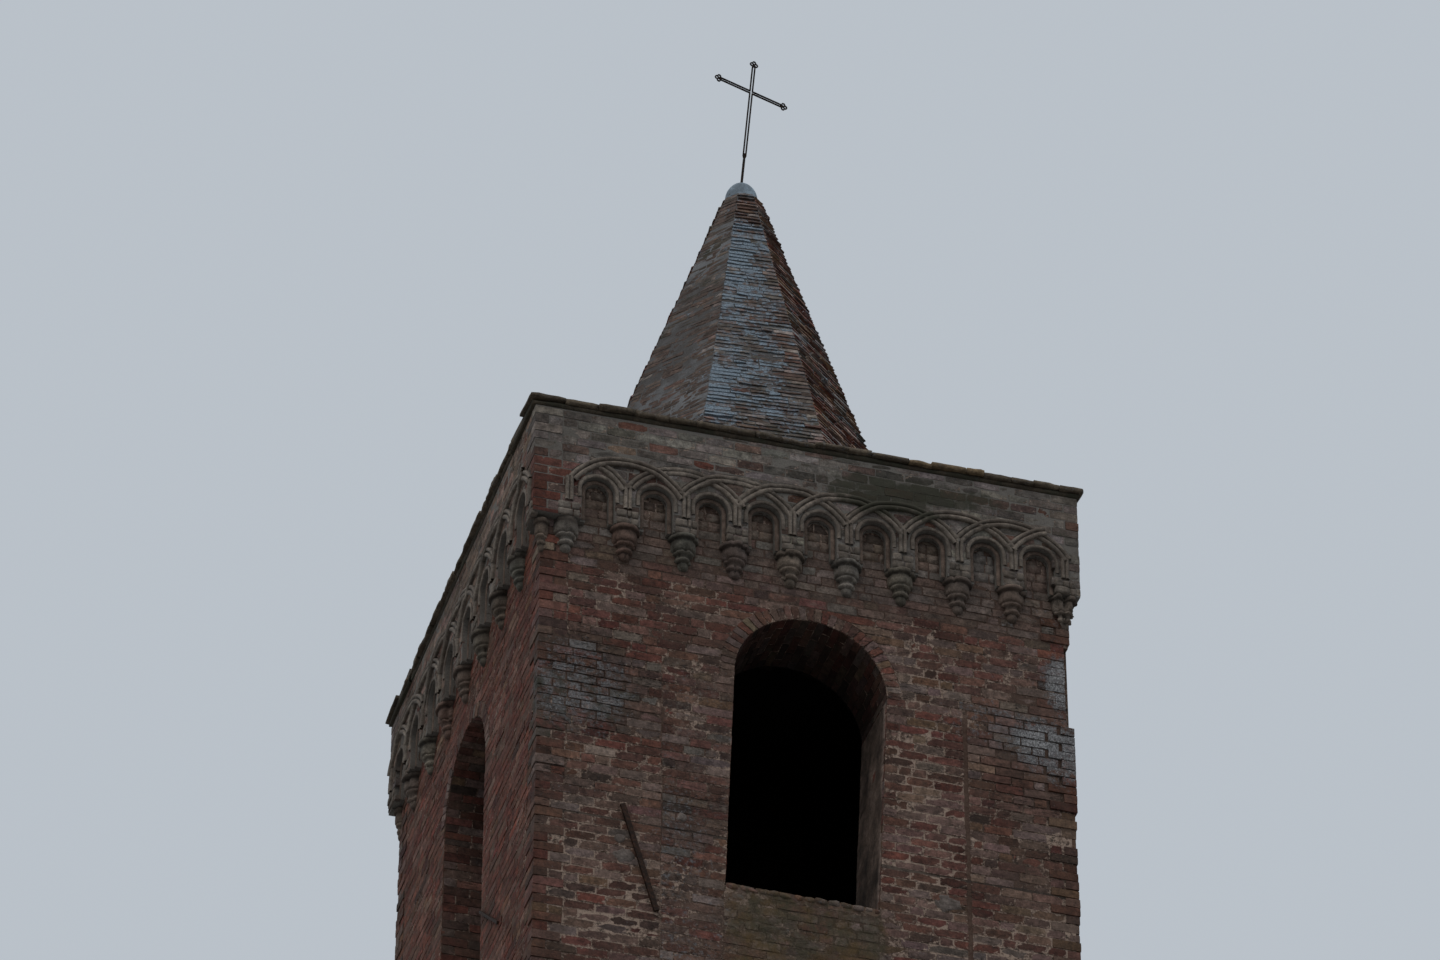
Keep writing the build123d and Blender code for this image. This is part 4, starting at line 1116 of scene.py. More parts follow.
# ---------------------------------------------------------------- inside of the chamber
CHAMBER = {
    "front": (np.array((0, -INNER, 0.0)), np.array((-1.0, 0, 0)), np.array((0, 1.0, 0))),
    "right": (np.array((INNER, 0, 0.0)), np.array((0, -1.0, 0)), np.array((-1.0, 0, 0))),
    "back": (np.array((0, INNER, 0.0)), np.array((1.0, 0, 0)), np.array((0, -1.0, 0))),
    "left": (np.array((-INNER, 0, 0.0)), np.array((0, 1.0, 0)), np.array((1.0, 0, 0))),
}
INNER_Z = courses(FLOOR, TOP - 0.3)
for face, (o, ax, n) in CHAMBER.items():
    b = Bricks()
    sgn = -1.0
    for i, (z0, z1) in enumerate(zip(INNER_Z[:-1], INNER_Z[1:])):
        zm = (z0 + z1) / 2
        mid, rad = OPENING[face]
        mid = -mid
        holes = []
        if SILL - 0.02 < zm < SPRING:
            a, e = jamb(face, zm)
            holes = [(-e, -a)]
        elif SPRING <= zm < SPRING + rad:
            w = math.sqrt(rad ** 2 - (zm - SPRING) ** 2)
            holes = [(mid - w, mid + w)]
        x = -INNER + (0.0 if i % 2 else 0.12)
        while x < INNER - 0.02:
            w = min(0.254, INNER - x)
            parts_ = [(x, x + w)]
            for h0, h1 in holes:
                new = []
                for p0, p1 in parts_:
                    if p1 <= h0 or p0 >= h1:
                        new.append((p0, p1))
                    else:
                        if p0 < h0 - 0.03:
                            new.append((p0, h0))
                        if p1 > h1 + 0.03:
                            new.append((h1, p1))
                parts_ = new
            for p0, p1 in parts_:
                c = [o + ax * p + ZUP * z for p, z in ((p0, z0 + 0.005), (p1 - 0.011, z0 + 0.005), (p1 - 0.011, z1 - 0.005), (p0, z1 - 0.005))]
                # painted shade: the chamber's bricks are painted near-black
                b.add(c, n, 0.006 + rng.normal() * 0.0015, pick([0.8, 1.0, 1.4, 0.1]) * 0.22, (0.0, 0.0, 0.35, 0.5))
            x += w
    b.mesh("chamber_bricks_" + face, DARK, "brick", 1, 1, pillow=0.0, rough=0.001, jitter=0.002, embed=0.02, smooth=False, seed=11)

# ---------------------------------------------------------------- cornice: brickwork of the parapet
CORNICE_Z = courses(SILL + 3.47, TOP + 0.124)
BAY_Z = courses(SILL + 3.72, TOP)
PLATE = HALF + PROJ
CORNER_FOOT = {"fl": SILL + 3.520, "fr": SILL + 3.680, "br": SILL + 3.680, "bl": SILL + 3.700}
def parapet_zone(face, u, z):
    r = z - SILL
    mix, lichen, wash, damp = [0.02, 0.22, 0.8, 0.03, 3.6], 0.20, 0.30, 0.05
    if face == "front":
        if u < -2.1 and r < 4.12:
            mix, wash, lichen = [2.2, 0.9, 0.2, 0.1, 0.4], 0.05, 0.05
        damp += 0.25 * blob(u, r, 0.52, 4.44, 0.55, 0.16) + 0.20 * blob(u, r, 1.2, 4.55, 0.40, 0.13)
        mix = [m + (1.2 if k == 0 and abs(u + 1.1) < 0.16 and r < 4.4 else 0) for k, m in enumerate(mix)]
    else:
        n = float(fbm2(u * 0.8 + 7, r * 2, 77, 3))
        damp += 0.8 * max(0, n - 0.55)
        mix[0] += 1.5 * max(0, 0.5 - n)
    return mix, lichen, wash, damp


quoin_top, reach_top = quoins(CORNICE_Z, PLATE, 6, None, (0.000, 0.006), 0.10, CORNER_FOOT, parapet_zone, True)
quoin_top.mesh("corner_bricks_cornice", PARAPET, "cornice_brick", False)


def plate_at(face, u, z, d=0.0):
    p = at(face, u, z, PROJ + d)
    p[2] = min(p[2], TOP + lift(p[0]) - 0.003)
    return p


def bays(face):
    """The middles of the bays between the piers."""
    row = ROW[face]
    return [(p + q) / 2 for p, q in zip(row[:-1], row[1:])]


def pier_foot(face, u):
    """Underside of the plate at a place: each pier has its own foot."""
    c = min(ROW[face], key=lambda v: abs(v - u))
    return FOOT + rise(face, c)


for face in FACES:
    b, below = Bricks(), []
    l, r = ENDS[face]
    k = 0 if XAXIS[face] else 1
    rows_ = lambda u, z: 0.0028 + rng.normal() * 0.0013
    for i, (z0, z1) in enumerate(zip(CORNICE_Z[:-1], CORNICE_Z[1:])):
        left = -PLATE + reach_top[(i, l)][k] + JOINT
        right = PLATE - reach_top[(i, r)][k] - JOINT
        cuts = []
        for m in bays(face):
            h = z0 - NICHE_Z - rise(face, m)
            if h < 0:
                w = ORDER_R
            elif h < ORDER_R:
                w = math.sqrt(ORDER_R ** 2 - h ** 2)
            else:
                continue
            cuts.append((m - w - 0.003, m + w + 0.003))
        sp, x = [], left
        for a, e in cuts:
            if a - x > 0.03:
                sp.append((x, a))
            x = e
        if right - x > 0.03:
            sp.append((x, right))
        # the topmost courses end against the coping
        start = -OUT + (z0 + 0.034 - TOP - 0.035) / 0.085 * 2 * OUT
        if face == "front":
            sp = [(max(a, start), e) for a, e in sp]
        elif face == "back":
            sp = [(a, min(e, -start)) for a, e in sp]
        elif (-PLATE if face == "left" else PLATE) < start:
            sp = []
        sp = [(a, e) for a, e in sp if e - a > 0.03]
        here = []
        for a, e in sp:
            zb = max(z0, pier_foot(face, (a + e) / 2) + 0.004)
            if z1 - zb < 0.03:
                continue
            joints = {"below": below}
            lay(face, i, zb, z1, [(a, e, a, e)], b, joints, rows_, parapet_zone, plate_at, False)
            here += joints["below"]
        below = here
    b.mesh("cornice_bricks_" + face, PARAPET, "cornice_brick", 3, 2, pillow=0.001, rough=0.0009, jitter=0.0022, embed=0.02, round_=0.12, smooth=False, seed=12)
    # the wall seen inside the bays
    s = Bricks()
    for m in bays(face):
        nz = NICHE_Z + rise(face, m)
        for i, (z0, z1) in enumerate(zip(BAY_Z[:-1], BAY_Z[1:])):
            if z0 > nz + NICHE_R - 0.03:
                continue
            zt = min(z1 - 0.004, nz + NICHE_R)
            w0 = NICHE_R if z0 < nz else math.sqrt(max(0, NICHE_R ** 2 - (z0 - nz) ** 2))
            w1 = NICHE_R if zt < nz else math.sqrt(max(0, NICHE_R ** 2 - (zt - nz) ** 2))
            cut = rng.uniform(-0.06, 0.06)
            for a0, a1, c0, c1 in ((-w0, -w1, cut - 0.005, cut - 0.005), (cut + 0.005, cut + 0.005, w0, w1)):
                if c0 - a0 < 0.015 or c1 - a1 < 0.0:
                    continue
                c = [at(face, m + a0, z0 + 0.003), at(face, m + c0, z0 + 0.003), at(face, m + c1, zt), at(face, m + a1, zt)]
                out = 0.005 + rng.normal() * 0.001
                # painted shadow: each bay's wall is painted darker near the crown, under the ring, and lighter lower
                # down
                col = (0.25 * pick([0.4, 1.3, 0.6, 1.0]) + 0.75 * np.array((0.122, 0.098, 0.078))) * (1.45 if z0 < nz - 0.06 else 0.90)
                if face == "front" and m > 1.4:
                    # plastered over
                    for p, dz in zip(c, (-0.004, -0.004, 0.004, 0.004)):
                        p[2] += dz
                    out, col = 0.006, 0.12 * col + 0.88 * np.array((0.150, 0.104, 0.086) if m > 1.9 else (0.165, 0.152, 0.140))
                s.add(c, FACES[face][2], out, col, (0.04, 0.40, 0.02, 0.5))
    s.mesh("niche_bricks_" + face, BRICK, "brick", 2, 1, pillow=0.0015, rough=0.001, jitter=0.0015, embed=0.02, round_=0.1, seed=13)

# ---------------------------------------------------------------- interlaced arches
TERRA = np.array((0.172, 0.148, 0.124))
# across the band from its inner to its outer edge, how far out, and the painted light: two rolls with painted
# highlights on their crowns and painted shade in the groove between them, and a painted shadow line where the band
# meets the wall above it
PROFILE = [(-0.046, -0.004, 0.7), (-0.046, 0.015, 0.9), (-0.041, 0.026, 1.2), (-0.026, 0.031, 1.35), (-0.010, 0.027, 1.2),
           (-0.005, 0.014, 0.7), (-0.003, 0.009, 0.45), (0.003, 0.009, 0.45), (0.006, 0.015, 0.7), (0.012, 0.025, 1.0),
           (0.026, 0.029, 1.1), (0.038, 0.024, 1.0), (0.043, 0.012, 0.55), (0.044, 0.0035, 0.20), (0.057, 0.0035, 0.20), (0.062, -0.004, 0.5)]
# the same for the short upright pieces: painted highlights on the two rolls, painted shade in the groove between them
STILT = [(-0.038, -0.004, 0.6), (-0.037, 0.014, 0.9), (-0.031, 0.024, 1.1), (-0.018, 0.027, 1.2), (-0.006, 0.022, 1.0),
         (-0.002, 0.009, 0.45), (0.002, 0.009, 0.45), (0.006, 0.022, 1.0), (0.018, 0.027, 1.15), (0.031, 0.023, 1.0), (0.037, 0.013, 0.8), (0.038, -0.004, 0.5)]


def strip(path, profile, offsets, height, face, base):
    """A moulding swept along path: points (u, z, across u, across z). profile is (across, out, painted light).
    Returns vertices, quads and the painted light of each vertex: painted highlights on the rolls, painted shade in
    grooves and at edges."""
    n, m = len(path), len(profile)
    verts, painted_light = np.zeros((n, m, 3)), np.zeros((n, m, 1))
    for i, (u, z, cu, cz) in enumerate(path):
        for j, (r, h, shade) in enumerate(profile):
            k = height[i] if h > 0.006 else 1.0
            verts[i, j] = at(face, u + r * cu, z + r * cz, base + (offsets[i] if h > 0.006 else 0.0) + (h * k if h > 0 else h - 0.012))
            painted_light[i, j] = shade
    return verts.reshape(-1, 3), grid_quads(m, n), painted_light.reshape(-1, 1)


def shaken(v, scale, amount):
    return v + np.array([noise.noise_vector(Vector(p) * scale) for p in v]) * amount


def moulding_tint(v, painted_light, tint):
    var = np.array([fbm2((p[0] + p[1]) * 4, p[2] * 4, 55, 3) for p in v]).reshape(-1, 1)
    low = np.array([fbm2((p[0] + p[1]) * 1.3 + 9, p[2] * 1.5, 57, 2) for p in v]).reshape(-1, 1)
    # painted light: the profile's painted highlights are held down and its painted shade kept; the noise varies the
    # tone at random
    painted_light = np.where(painted_light > 0.8, 0.82 + 0.32 * (painted_light - 0.8), painted_light)
    return tint * painted_light * (0.55 + 0.66 * var + 0.34 * low)


for face in FACES:
    soup = Soup()
    row = ROW[face]
    fs = {"front": 1, "left": 2, "right": 3, "back": 4}[face]
    half_u = HALF + PROJ
    pitch = PITCH[face]
    R = pitch * (1 + ARCH_RISE ** 2) / (2 * ARCH_RISE)
    t_foot = math.asin(pitch / R)
    t_cross = math.asin(pitch / 2 / R)
    for k, c in enumerate(row):
        first, last = k == 0, k == len(row) - 1
        foot = ARCH_FOOT + rise(face, c)
        zc = foot + ARCH_RISE * pitch - R
        t0 = math.asin(0.35 * pitch / R) if first else -t_foot
        t1 = -math.asin(0.35 * pitch / R) if last else t_foot
        steps = 44 if not (first or last) else 18
        left_over = -1.0 if k == 2 else 1.0
        right_over = 1.0 if k == 1 else -1.0
        path, offs, hs = [], [], []
        for i in range(steps + 1):
            t = t0 + (t1 - t0) * i / steps
            u, z = c + R * math.sin(t), zc + R * math.cos(t)
            if abs(u) > half_u - 0.028:
                continue
            path.append((u, z, math.sin(t), math.cos(t)))
            wl = math.exp(-((t + t_cross) / math.radians(9)) ** 2)
            wr = math.exp(-((t - t_cross) / math.radians(9)) ** 2)
            offs.append(0.0035 + 0.0085 * (left_over * wl + right_over * wr))
            e = float(fbm2(u * 5 + 3 * fs, z * 5, 40 + k, 3))
            h = 0.94 + 0.45 * (e - 0.5)
            if e < 0.30:
                h *= 0.6
            if face == "front":
                if k == 2 and abs(t) < 0.32:
                    h *= 0.42
                if k == 3 and -0.78 < u < -0.50:
                    h *= 0.45
                if k in (4, 5) and -0.30 < t < 0.12:
                    h *= 0.75
            hs.append(max(0.10, h))
        if len(path) < 3:
            continue
        v, q, painted_light = strip(path, PROFILE, offs, hs, face, PROJ)
        v = shaken(shaken(v, 22, 0.0022), 60, 0.0009)
        wear = np.repeat(np.array([[0.16, 0.24, 0.05, 0.5]]), len(v), 0)
        if face == "front":
            u, z = v[:, 0], v[:, 2] - SILL
            wear[:, 2] += 0.8 * np.exp(-(((u - 0.55) / 0.55) ** 2 + ((z - 4.42) / 0.16) ** 2))
            wear[:, 2] += 0.5 * np.exp(-(((u - 1.2) / 0.35) ** 2 + ((z - 4.48) / 0.10) ** 2))
            wear[:, 2] += 0.35 * np.exp(-(((u + 2.2) / 0.15) ** 2 + ((z - 4.15) / 0.15) ** 2))
        soup.add(v, q[:, ::-1], moulding_tint(v, painted_light, TERRA * rng.uniform(0.88, 1.12)), wear)
    # the arches' feet stand on short upright pieces
    for k, c in enumerate(row):
        if abs(c) > half_u - 0.076:
            continue
        z_hi, z_lo = ARCH_FOOT + rise(face, c) + 0.03, STILT_Z + rise(face, c)
        zs = np.linspace(z_hi, z_lo, 9)
        path = [(c, z, 1, 0) for z in zs]
        hs = [max(0.2, 0.95 + 0.7 * (float(fbm2(c * 5 + fs, z * 8, 63, 2)) - 0.5)) for z in zs]
        v, q, painted_light = strip(path, STILT, [0.002] * len(path), hs, face, PROJ)
        v = shaken(shaken(v, 24, 0.0030), 60, 0.0010)
        soup.add(v, q[:, ::-1], moulding_tint(v, painted_light, TERRA * rng.uniform(0.88, 1.10)), (0.16, 0.34, 0.04, 0.5))
    soup.mesh("arches_" + face, STONE, "moulded_terracotta", replaces=("interlaced_arches_" + face,))

    # rings round the heads of the bays: a small roll on the wall, and a plain course of red brick set back inside it
    soup = Soup()
    # the rings' profiles carry painted light: painted highlights on the roll's crown, painted shade at its edges
    small = [(-0.019, -0.004, 0.6), (-0.018, 0.008, 0.95), (-0.011, 0.014, 1.15), (0.004, 0.015, 1.15), (0.014, 0.011, 1.0),
             (0.018, 0.004, 0.45), (0.023, 0.002, 0.25), (0.025, -0.004, 0.5)]
    order = [(-0.0225, -0.020, 0.4), (-0.021, 0.006, 0.8), (-0.012, 0.010, 1.1), (0.008, 0.010, 1.1), (0.018, 0.007, 0.9), (0.0235, -0.004, 0.35)]
    for m in bays(face):
        nz = NICHE_Z + rise(face, m)
        for rad_, prof, base, col, drop in ((0.170, small, PROJ, TERRA * 0.92, 0.10),
                                            (0.1275, order, PROJ - ORDER_DEPTH, np.array((0.132, 0.098, 0.078)), 0.0)):
            low = pier_foot(face, m + 0.1) - 0.0 if drop == 0.0 else nz - drop
            low = max(low, pier_foot(face, m + 0.1), pier_foot(face, m - 0.1)) + 0.005
            path = [(m - rad_, z, -1, 0) for z in np.linspace(low, nz - 0.03, 5)]
            path += [(m + rad_ * math.sin(t), nz + rad_ * math.cos(t), math.sin(t), math.cos(t))
                     for t in np.linspace(-math.pi / 2, math.pi / 2, 21)]
            path += [(m + rad_, z, 1, 0) for z in np.linspace(nz - 0.03, low, 5)]
            hs = [max(0.25, 0.92 + 0.6 * (float(fbm2(p[0] * 9, p[1] * 9, 61, 2)) - 0.5)) for p in path]
            v, q, painted_light = strip(path, prof, [0.0] * len(path), hs, face, base)
            v = shaken(shaken(v, 25, 0.0018), 60, 0.0008)
            soup.add(v, q[:, ::-1], moulding_tint(v, painted_light, col * rng.uniform(0.85, 1.12)), (0.12, 0.22, 0.06, 0.5))
    soup.mesh("bay_rings_" + face, STONE, "moulded_terracotta")

    # crumbling stone and mortar between the corbels and the arches' feet
    soup = Soup()
    ax, nrm = FACES[face][1], FACES[face][2]
    for k, c in enumerate(row):
        foot = FOOT + rise(face, c)
        if abs(c) > half_u - 0.105:
            c = math.copysign(half_u - 0.106, c)
        for j in range(2):
            edges = [c - 0.100] + sorted(c + rng.uniform(-0.05, 0.05, 1 + j)) + [c + 0.100]
            z_lo, z_hi = ((foot + 0.003, foot + 0.075), (foot + 0.079, foot + 0.158))[j]
            for a, e in zip(edges[:-1], edges[1:]):
                if e - a < 0.03:
                    continue
                out_ = rng.uniform(0.006, 0.020)
                zt = z_hi - rng.uniform(0, 0.010)
                v, q = lump(at(face, (a + e) / 2, (z_lo + zt) / 2, PROJ + out_ - 0.030), ((e - a) / 2 - 0.003, 0.030, (zt - z_lo) / 2),
                            (ax, nrm, ZUP), (3, 2, 3), 0.009, int((c + 9) * 40) + j * 7 + int(a * 50), 0.22)
                col = TERRA * rng.uniform(0.55, 0.88) * (1.35 if k in (2, 6) else 1.0)
                if face == "front" and k == 0:
                    col = np.array((0.165, 0.150, 0.132))
                soup.add(v, q, col, (0.18, 0.42, 0.04, 0.5))
    soup.mesh("impost_blocks_" + face, STONE, "moulded_terracotta")

# ---------------------------------------------------------------- corbels
# radius and height of the half-round profile, from the bottom tip to the top, below the pier's foot, and the painted
# light: painted shade under the top lip and in the recesses between the lips, painted highlights on the lips
CORBEL = [(0.004, -0.378, 0.6), (0.028, -0.374, 0.6), (0.042, -0.360, 0.65), (0.049, -0.338, 0.75), (0.050, -0.312, 0.65),
          (0.046, -0.296, 0.40), (0.062, -0.290, 0.9), (0.074, -0.284, 1.30), (0.077, -0.271, 1.35), (0.072, -0.257, 0.8),
          (0.066, -0.249, 0.45), (0.065, -0.226, 0.45), (0.071, -0.209, 0.6), (0.088, -0.203, 1.15), (0.094, -0.195, 1.5),
          (0.094, -0.184, 1.4), (0.091, -0.174, 0.6), (0.104, -0.169, 0.75), (0.112, -0.160, 0.95), (0.1135, -0.120, 0.75),
          (0.1135, -0.078, 0.5), (0.111, -0.056, 0.28), (0.122, -0.050, 0.30), (0.135, -0.045, 0.36), (0.1385, -0.035, 0.45),
          (0.1385, -0.012, 0.7), (0.135, -0.001, 0.8), (0.10, 0.0, 1.0), (0.0, 0.0, 1.0)]
CORBEL_TINTS = [(0.172, 0.156, 0.136), (0.170, 0.112, 0.090), (0.138, 0.132, 0.110), (0.132, 0.102, 0.090), (0.156, 0.126, 0.100),
                (0.162, 0.150, 0.132), (0.146, 0.130, 0.104), (0.140, 0.112, 0.094), (0.156, 0.118, 0.096), (0.150, 0.124, 0.102)]


def corbel(centre, z_top, ax, nrm, scale, seed, t0=-90.0, t1=90.0, lost=0.0, worn=0.0):
    """A half-round corbel as a swept profile, broken here and there."""
    m = 21
    ts = [math.radians(t0 + (t1 - t0) * i / (m - 1)) for i in range(m)]
    verts, painted_light = [], []
    for r_, z, shade in CORBEL:
        if lost and z > -0.055:
            r_ = min(r_, 0.110)
        for t in ts:
            side = ax * math.sin(t) + nrm * math.cos(t)
            p = np.array(centre) + side * r_ * scale + ZUP * (z_top + 0.89 * z)
            q = Vector(p) * 14 + Vector((seed, 0, 0))
            d = np.array(noise.noise_vector(q)) * 0.0030 + np.array(noise.noise_vector(q * 3.3)) * 0.0016
            bite = max(0.0, noise.noise(Vector((seed * 1.7 + t * 1.6, z * 9, 3))) - 0.30) * 0.10
            if z > -0.06:
                bite += max(0.0, noise.noise(Vector((seed * 2.9 + t * 2.6, 7, 3))) - 0.18) * 0.06
            if worn:
                q = Vector((seed + 2.1 * math.sin(t), 1.7 * math.cos(t), z * 7))
                bite += worn * max(0.0, noise.noise(q) + 0.22) * 0.11
            if 0 < r_:
                p = p + d * (1 + 2.5 * worn)
            p = p - side * min(bite, r_ * (0.62 if worn else 0.35)) * scale
            if z > -0.0005:
                p[2] = z_top
            verts.append(p)
            painted_light.append(shade)
    return np.array(verts), grid_quads(m, len(CORBEL)), np.array(painted_light).reshape(-1, 1)


for face in FACES:
    soup = Soup()
    o, ax, nrm = FACES[face]
    for k, c in enumerate(ROW[face]):
        if abs(c) > HALF - 0.001:
            continue
        lost = face == "front" and k == 0
        v, q, painted_light = corbel(o + ax * c, FOOT + rise(face, c), ax, nrm, 1.0, k + 11 * len(face), lost=1.0 if lost else 0.0,
                            worn=1.0 if face == "front" and k == 9 else 0.0)
        if face == "front":
            col = np.array(CORBEL_TINTS[k]) * 1.12
        else:
            col = np.array(CORBEL_TINTS[rng.integers(len(CORBEL_TINTS))]) * rng.uniform(0.9, 1.15)
        soup.add(v, q, moulding_tint(v, painted_light, col), (0.10, 0.16, 0.10, 0.5))
    corners = {"front": [(-HALF, -HALF, 0.526, FOOT - 0.110)],
               "back": [(HALF, HALF, 0.80, FOOT + 0.09), (-HALF, HALF, 0.526, FOOT + 0.09)]}.get(face, [])
    for cx, cy, scale, z_top in corners:
        d = np.array((math.copysign(0.7071, cx), math.copysign(0.7071, cy), 0))
        v, q, painted_light = corbel((cx, cy, 0), z_top, np.cross(ZUP, d), d, scale, int(3 + cx + cy), -130, 130)
        soup.add(v, q, moulding_tint(v, painted_light, np.array((0.160, 0.125, 0.098))), (0.12, 0.2, 0.1, 0.5))
    soup.mesh("corbels_turned_" + face, STONE, "moulded_terracotta", replaces=("corbels_" + face,))

# ---------------------------------------------------------------- coping
COPE = np.array((0.104, 0.084, 0.060))
for face in FACES:
    o, ax, nrm = FACES[face]
    full = XAXIS[face]
    # uneven mortar bed, sloping up towards the spire
    bed = Soup()
    lim = OUT - 0.03 if full else COPE_IN
    nu, secs = 90, [(COPE_IN, 0.0), (2.10, 0.0), (2.38, 0.0), (2.500, 0.004), (2.515, 0.030), (2.505, 0.056), (2.44, 0.068), (2.2, 0.100), (1.95, 0.128), (COPE_IN, 0.149)]
    verts = []
    for j, (d, h) in enumerate(secs):
        for i in range(nu):
            u = -lim + 2 * lim * i / (nu - 1)
            q = noise.noise(Vector((u * 3.1, d * 9 + len(face) * 5, h * 30)))
            q2 = noise.noise(Vector((u * 11, d * 9 + len(face) * 3, h * 50)))
            dd = d + (0.012 * q + 0.008 * q2 if 3 <= j <= 6 else 0)
            hh = h + ((0.008 * q + 0.006 * q2) if 4 <= j <= 8 else 0)
            # the bed's depth is kept just inside the coping's outer edge
            verts.append(at(face, u, TOP + max(hh, 0.0), min(dd, OUT - 0.001) - HALF))
    q = grid_quads(nu, len(secs))
    # the soffit, edge and top in turn, and the two ends
    n_s = len(secs)
    caps = []
    for i_end in (0, nu - 1):
        ring_ = [j * nu + i_end for j in range(n_s)]
        for j in range(1, n_s // 2):
            a, b_, c_, d_ = ring_[j - 1], ring_[j], ring_[n_s - 1 - j], ring_[n_s - j]
            caps.append((a, b_, c_, d_) if i_end == 0 else (d_, c_, b_, a))
    verts = np.array(verts)
    verts[:, 2] += lift(verts[:, 0])
    bed.add(verts, np.concatenate([q, np.array(caps)]), COPE * 0.55, (0.15, 0.20, 0.45, 0.5))
    bed.mesh("coping_bed_" + face, BRICK, "coping_tile", replaces=("coping_" + face,))
    # tiles: an outer row with uneven edges and an inner row lapping over it
    tiles = Soup()
    x = -OUT + 0.002
    seed = len(face) * 31
    while x < OUT - 0.05:
        w = min(rng.uniform(0.16, 0.36), OUT - 0.002 - x)
        if OUT - 0.002 - (x + w) < 0.12:
            w = OUT - 0.002 - x
        u = x + w / 2
        seed += 1
        out_d = OUT - HALF - rng.uniform(0.002, 0.022)
        if rng.random() < 0.12:
            out_d -= rng.uniform(0.010, 0.026)
        in_d = -0.24
        th = rng.uniform(0.017, 0.027)
        # a tile lies on the bed and follows its slope
        slope = 0.105
        zc = TOP + 0.062 + th * 0.5 + rng.normal() * 0.004
        cd = (out_d + in_d) / 2
        axis_d = nrm - ZUP * slope
        reach_ok = abs(u) + w / 2 < OUT
        if not full and abs(u) + w / 2 > 2.15:
            # the neighbours' tiles fill the corner
            x += w
            continue
        v, q = lump(at(face, u, zc + 0.020, cd), (w / 2 + 0.002, (out_d - in_d) / 2, th), (ax, axis_d, ZUP), (5, 6, 2), 0.010, seed, 0.10)
        lichen = float(fbm2(u * 0.8 + len(face), 3.0, 91, 3))
        col = COPE * rng.uniform(0.75, 1.2)
        if face == "front" and abs(u - 1.2) < 0.35:
            col = np.array((0.20, 0.145, 0.085))
        v[:, :2] = np.clip(v[:, :2], -(OUT - 0.001), OUT - 0.001)
        v[:, 2] += lift(v[:, 0])
        tiles.add(v, q, col, (0.18 + 0.5 * max(0, lichen - 0.45), 0.2, 0.15, 0.5))
        x += w
    x = -2.2
    while x < 2.2:
        w = rng.uniform(0.20, 0.36)
        u = x + w / 2
        if abs(u) + w / 2 > (2.2 if full else 1.95):
            x += w
            continue
        seed += 1
        v, q = lump(at(face, u, TOP + 0.128 + rng.normal() * 0.003, -0.40), (w / 2 - 0.005, 0.17, 0.017), (ax, nrm - ZUP * 0.10, ZUP), (4, 4, 1), 0.008, seed, 0.2)
        v[:, 2] += lift(v[:, 0])
        tiles.add(v, q, COPE * rng.uniform(0.7, 1.1), (0.35, 0.2, 0.3, 0.5))
        x += w
    tiles.mesh("coping_tiles_" + face, BRICK, "coping_tile")

# ---------------------------------------------------------------- spire
LEAN = SPIRE_X1 - SPIRE_X0
spire_tints = {
    0: ([0.1, 0.8, 1.9, 0.1, 1.5], 0.60, 0.14, 0.12, 0.004),  # front: blue-grey lichen
    7: ([0.1, 1.2, 1.2, 0.4, 0.6], 0.10, 0.14, 0.20, 0.0012),  # left of it: smoother, brown
    1: ([1.0, 1.4, 0.8, 1.6, 0.8], 0.22, 0.28, 0.06, 0.009),       # right of it: red-brown steps
    2: ([1.2, 1.4, 0.7, 0.6], 0.18, 0.25, 0.10, 0.010),
    3: ([0.9, 1.3, 1.2, 0.4], 0.20, 0.28, 0.12, 0.010),
    4: ([0.5, 1.0, 2.0, 0.3], 0.32, 0.30, 0.14, 0.010),
    5: ([0.9, 1.3, 1.2, 0.4], 0.22, 0.28, 0.12, 0.010),
    6: ([1.0, 1.5, 0.8, 0.5], 0.22, 0.30, 0.10, 0.008),
}
